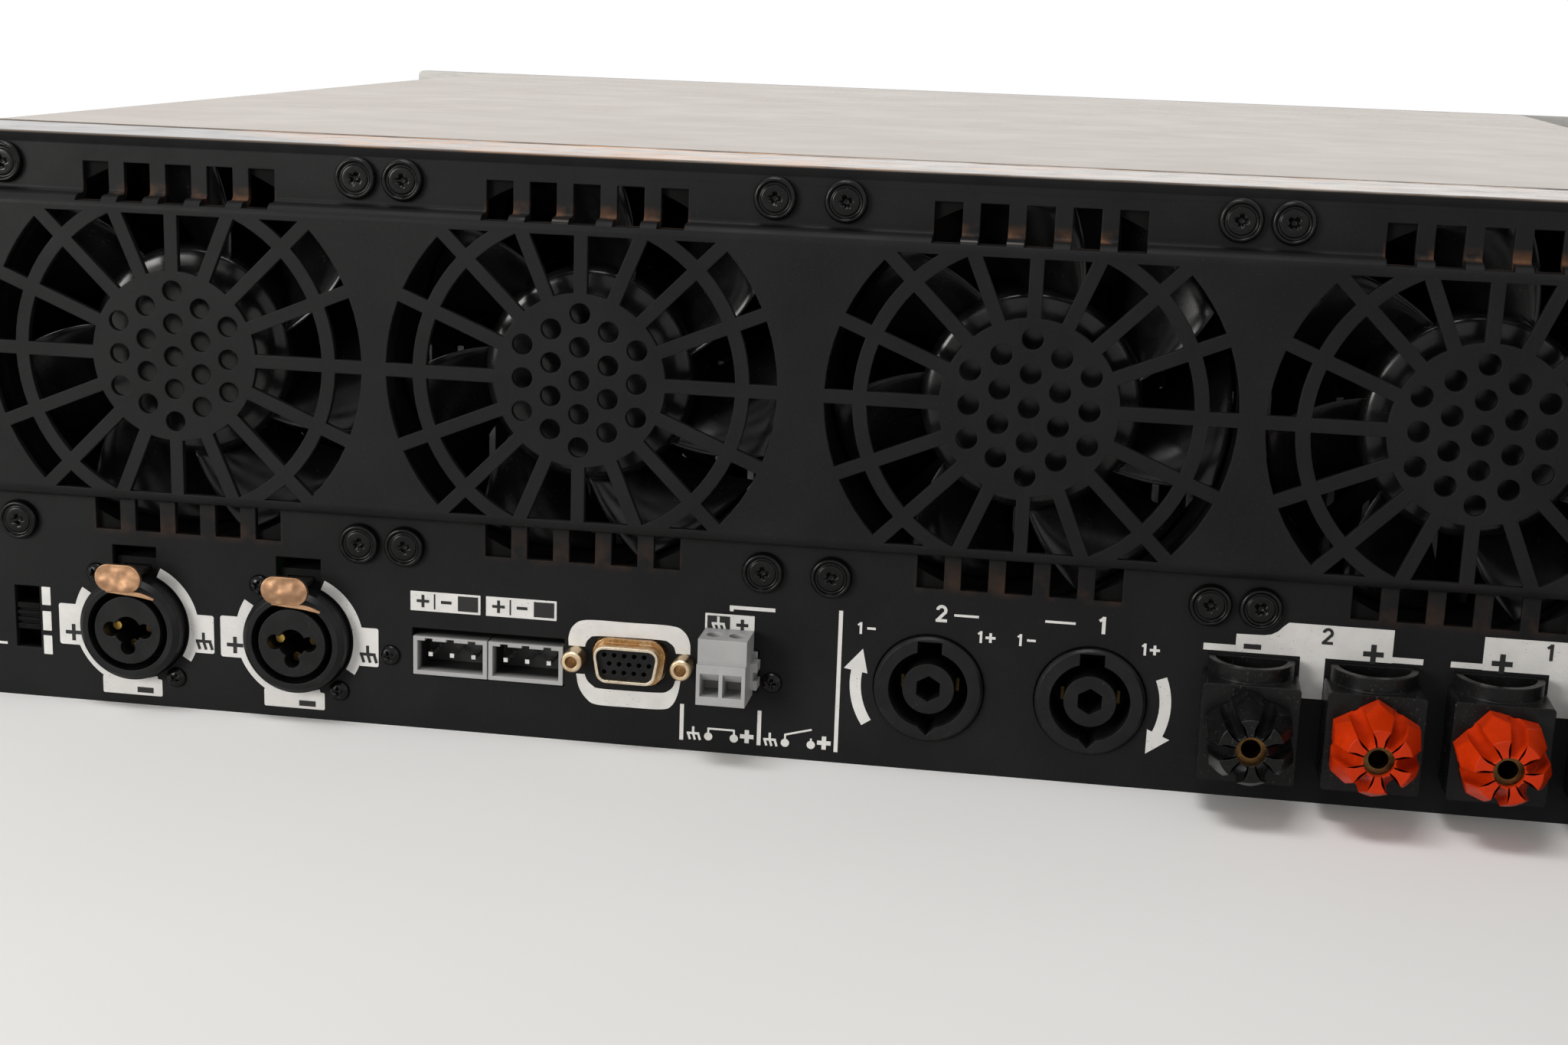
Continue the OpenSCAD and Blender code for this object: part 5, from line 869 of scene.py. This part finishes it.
make_piece("white_print", white, white_ink, "chassis", False, (0, 1, 0))
make_piece("black_signs", black, black_ink, "chassis", False, (0, 1, 0))

# Rack panel: dots round the gain knobs, and a line in each knob's groove
DOTS, DOT_RING, DOT_R = 11, 15, 0.55
DOT_START, DOT_STEP = 240, -30
POINTER_FROM, POINTER_TO, POINTER_W = 3.2, 7.2, 1.0
dots = []
for i, x in enumerate(GAIN_X):
    for k in range(DOTS):
        a = math.radians(DOT_START + DOT_STEP * k)
        dot_x, dot_z = x + DOT_RING * math.cos(a), GAIN_Z + DOT_RING * math.sin(a)
        ring(dot_x, dot_z, 0, DOT_R, 0, 360, dots, place=on_rack)
    line = []
    bar(x, GAIN_Z + POINTER_FROM, x, GAIN_Z + POINTER_TO, POINTER_W, line, GAIN_FACE_OUT + SIGN_OUT, on_rack)
    make_piece(f"pointer_{i + 1}", line, white_ink, f"gain_{i + 1}", False, (0, -1, 0))
make_piece("scale_dots", dots, white_ink, "chassis", False, (0, -1, 0))


# Floor, light and camera

def shown_rays(tree):
    """One for the rays that show the background: those of the camera, of reflections and through glass."""
    path = tree.nodes.new("ShaderNodeLightPath")
    total = path.outputs["Is Camera Ray"]
    for kind in ("Is Glossy Ray", "Is Transmission Ray"):
        add = tree.nodes.new("ShaderNodeMath")
        add.operation = "ADD"
        tree.links.new(total, add.inputs[0])
        tree.links.new(path.outputs[kind], add.inputs[1])
        total = add.outputs[0]
    return total


def paper_floor(name):
    """Pale paper that keeps the object's shadow, and fades to plain white far from it."""
    f = Finish(name, (0.8, 0.79, 0.78), 0.75, specular=0.2)
    tone = f.spread(f.noise(300, 3), 0.3, 0.7)
    f.feed("Base Color", f.blend(tone, (0.82, 0.81, 0.8), (0.77, 0.76, 0.75)))
    far = f.node("ShaderNodeVectorMath", {0: f.place}, operation="LENGTH").outputs["Value"]
    fade = f.maths("MULTIPLY", shown_rays(f.tree), f.ramp(far, 900, 2200))
    white_light = f.node("ShaderNodeEmission", {"Color": (1, 1, 1, 1), "Strength": 1.0})
    mixed = f.node("ShaderNodeMixShader", {0: fade, 1: f.shader.outputs[0], 2: white_light.outputs[0]})
    f.tree.links.new(mixed.outputs[0], f.tree.nodes["Material Output"].inputs["Surface"])
    return f.material


FLOOR_HALF = 6000
floor_mesh = bpy.data.meshes.new("floor")
floor_corners = np.array([(-1, -1, 0), (1, -1, 0), (1, 1, 0), (-1, 1, 0)]) * FLOOR_HALF * MM
floor_mesh.from_pydata(floor_corners, [], [(0, 1, 2, 3)])
floor_mesh.materials.append(paper_floor("floor_paper"))
floor = bpy.data.objects.new("floor", floor_mesh)
bpy.context.scene.collection.objects.link(floor)

# The world lights the object softly, and shows as plain white
world = bpy.data.worlds.new("studio")
world.use_nodes = True
bpy.context.scene.world = world
sky = world.node_tree
soft_light = sky.nodes["Background"]
soft_light.inputs["Color"].default_value = (1, 0.98, 0.96, 1)
soft_light.inputs["Strength"].default_value = 0.35
plain_white = sky.nodes.new("ShaderNodeBackground")
plain_white.inputs["Color"].default_value = (1, 1, 1, 1)
plain_white.inputs["Strength"].default_value = 1.0
choice = sky.nodes.new("ShaderNodeMixShader")
for key, value in enumerate((shown_rays(sky), soft_light.outputs[0], plain_white.outputs[0])):
    sky.links.new(value, choice.inputs[key])
sky.links.new(choice.outputs[0], sky.nodes["World Output"].inputs["Surface"])


def soft_box(name, spot, aim, width, height, power, colour=(1, 1, 1)):
    """A rectangular studio light that faces the point aim."""
    lamp = bpy.data.lights.new(name, "AREA")
    lamp.shape = "RECTANGLE"
    lamp.size, lamp.size_y, lamp.energy, lamp.color = width, height, power, colour
    light = bpy.data.objects.new(name, lamp)
    spot, aim = np.array(spot, float), np.array(aim, float)
    back = (spot - aim) / np.linalg.norm(spot - aim)
    right = np.cross((0, 0, 1), back)
    right /= np.linalg.norm(right)
    turn = np.stack([right, np.cross(back, right), back], -1)
    light.matrix_world = Matrix.LocRotScale(spot.tolist(), Matrix(turn.tolist()).to_quaternion(), None)
    bpy.context.scene.collection.objects.link(light)


soft_box("overhead", (0.2, 0.5, 1.3), (0, 0.2, 0.1), 0.7, 0.4, 8)
soft_box("left_window", (0.92, 1.25, 0.36), (0.05, 0.24, 0.06), 0.5, 0.5, 13, (1, 0.98, 0.95))
soft_box("right_fill", (-1.1, 1.1, 0.5), (-0.1, 0.24, 0.06), 0.7, 0.7, 0.8)

# The photograph's view: the camera's place in panel coordinates, and its turn, tilt and roll in degrees
CAMERA_PLACE = (66.375, 166.505, 471.61)
CAMERA_TURN, CAMERA_TILT, CAMERA_ROLL = 8.4113, 13.2076, 2.012
camera_data = bpy.data.cameras.new("camera")
camera_data.sensor_fit = "HORIZONTAL"
camera_data.sensor_width = 36
camera_data.lens = 51.0
camera_data.clip_start = 0.01
camera = bpy.data.objects.new("camera", camera_data)
pose = Matrix.Translation((on_panel(*CAMERA_PLACE) * MM).tolist())
for angle, axis in ((180 + CAMERA_TURN, "Z"), (90 - CAMERA_TILT, "X"), (CAMERA_ROLL, "Z")):
    pose = pose @ Matrix.Rotation(math.radians(angle), 4, axis)
camera.matrix_world = pose
bpy.context.scene.collection.objects.link(camera)
bpy.context.scene.camera = camera
bpy.context.scene.view_settings.view_transform = "Standard"

bpy.context.view_layer.update()
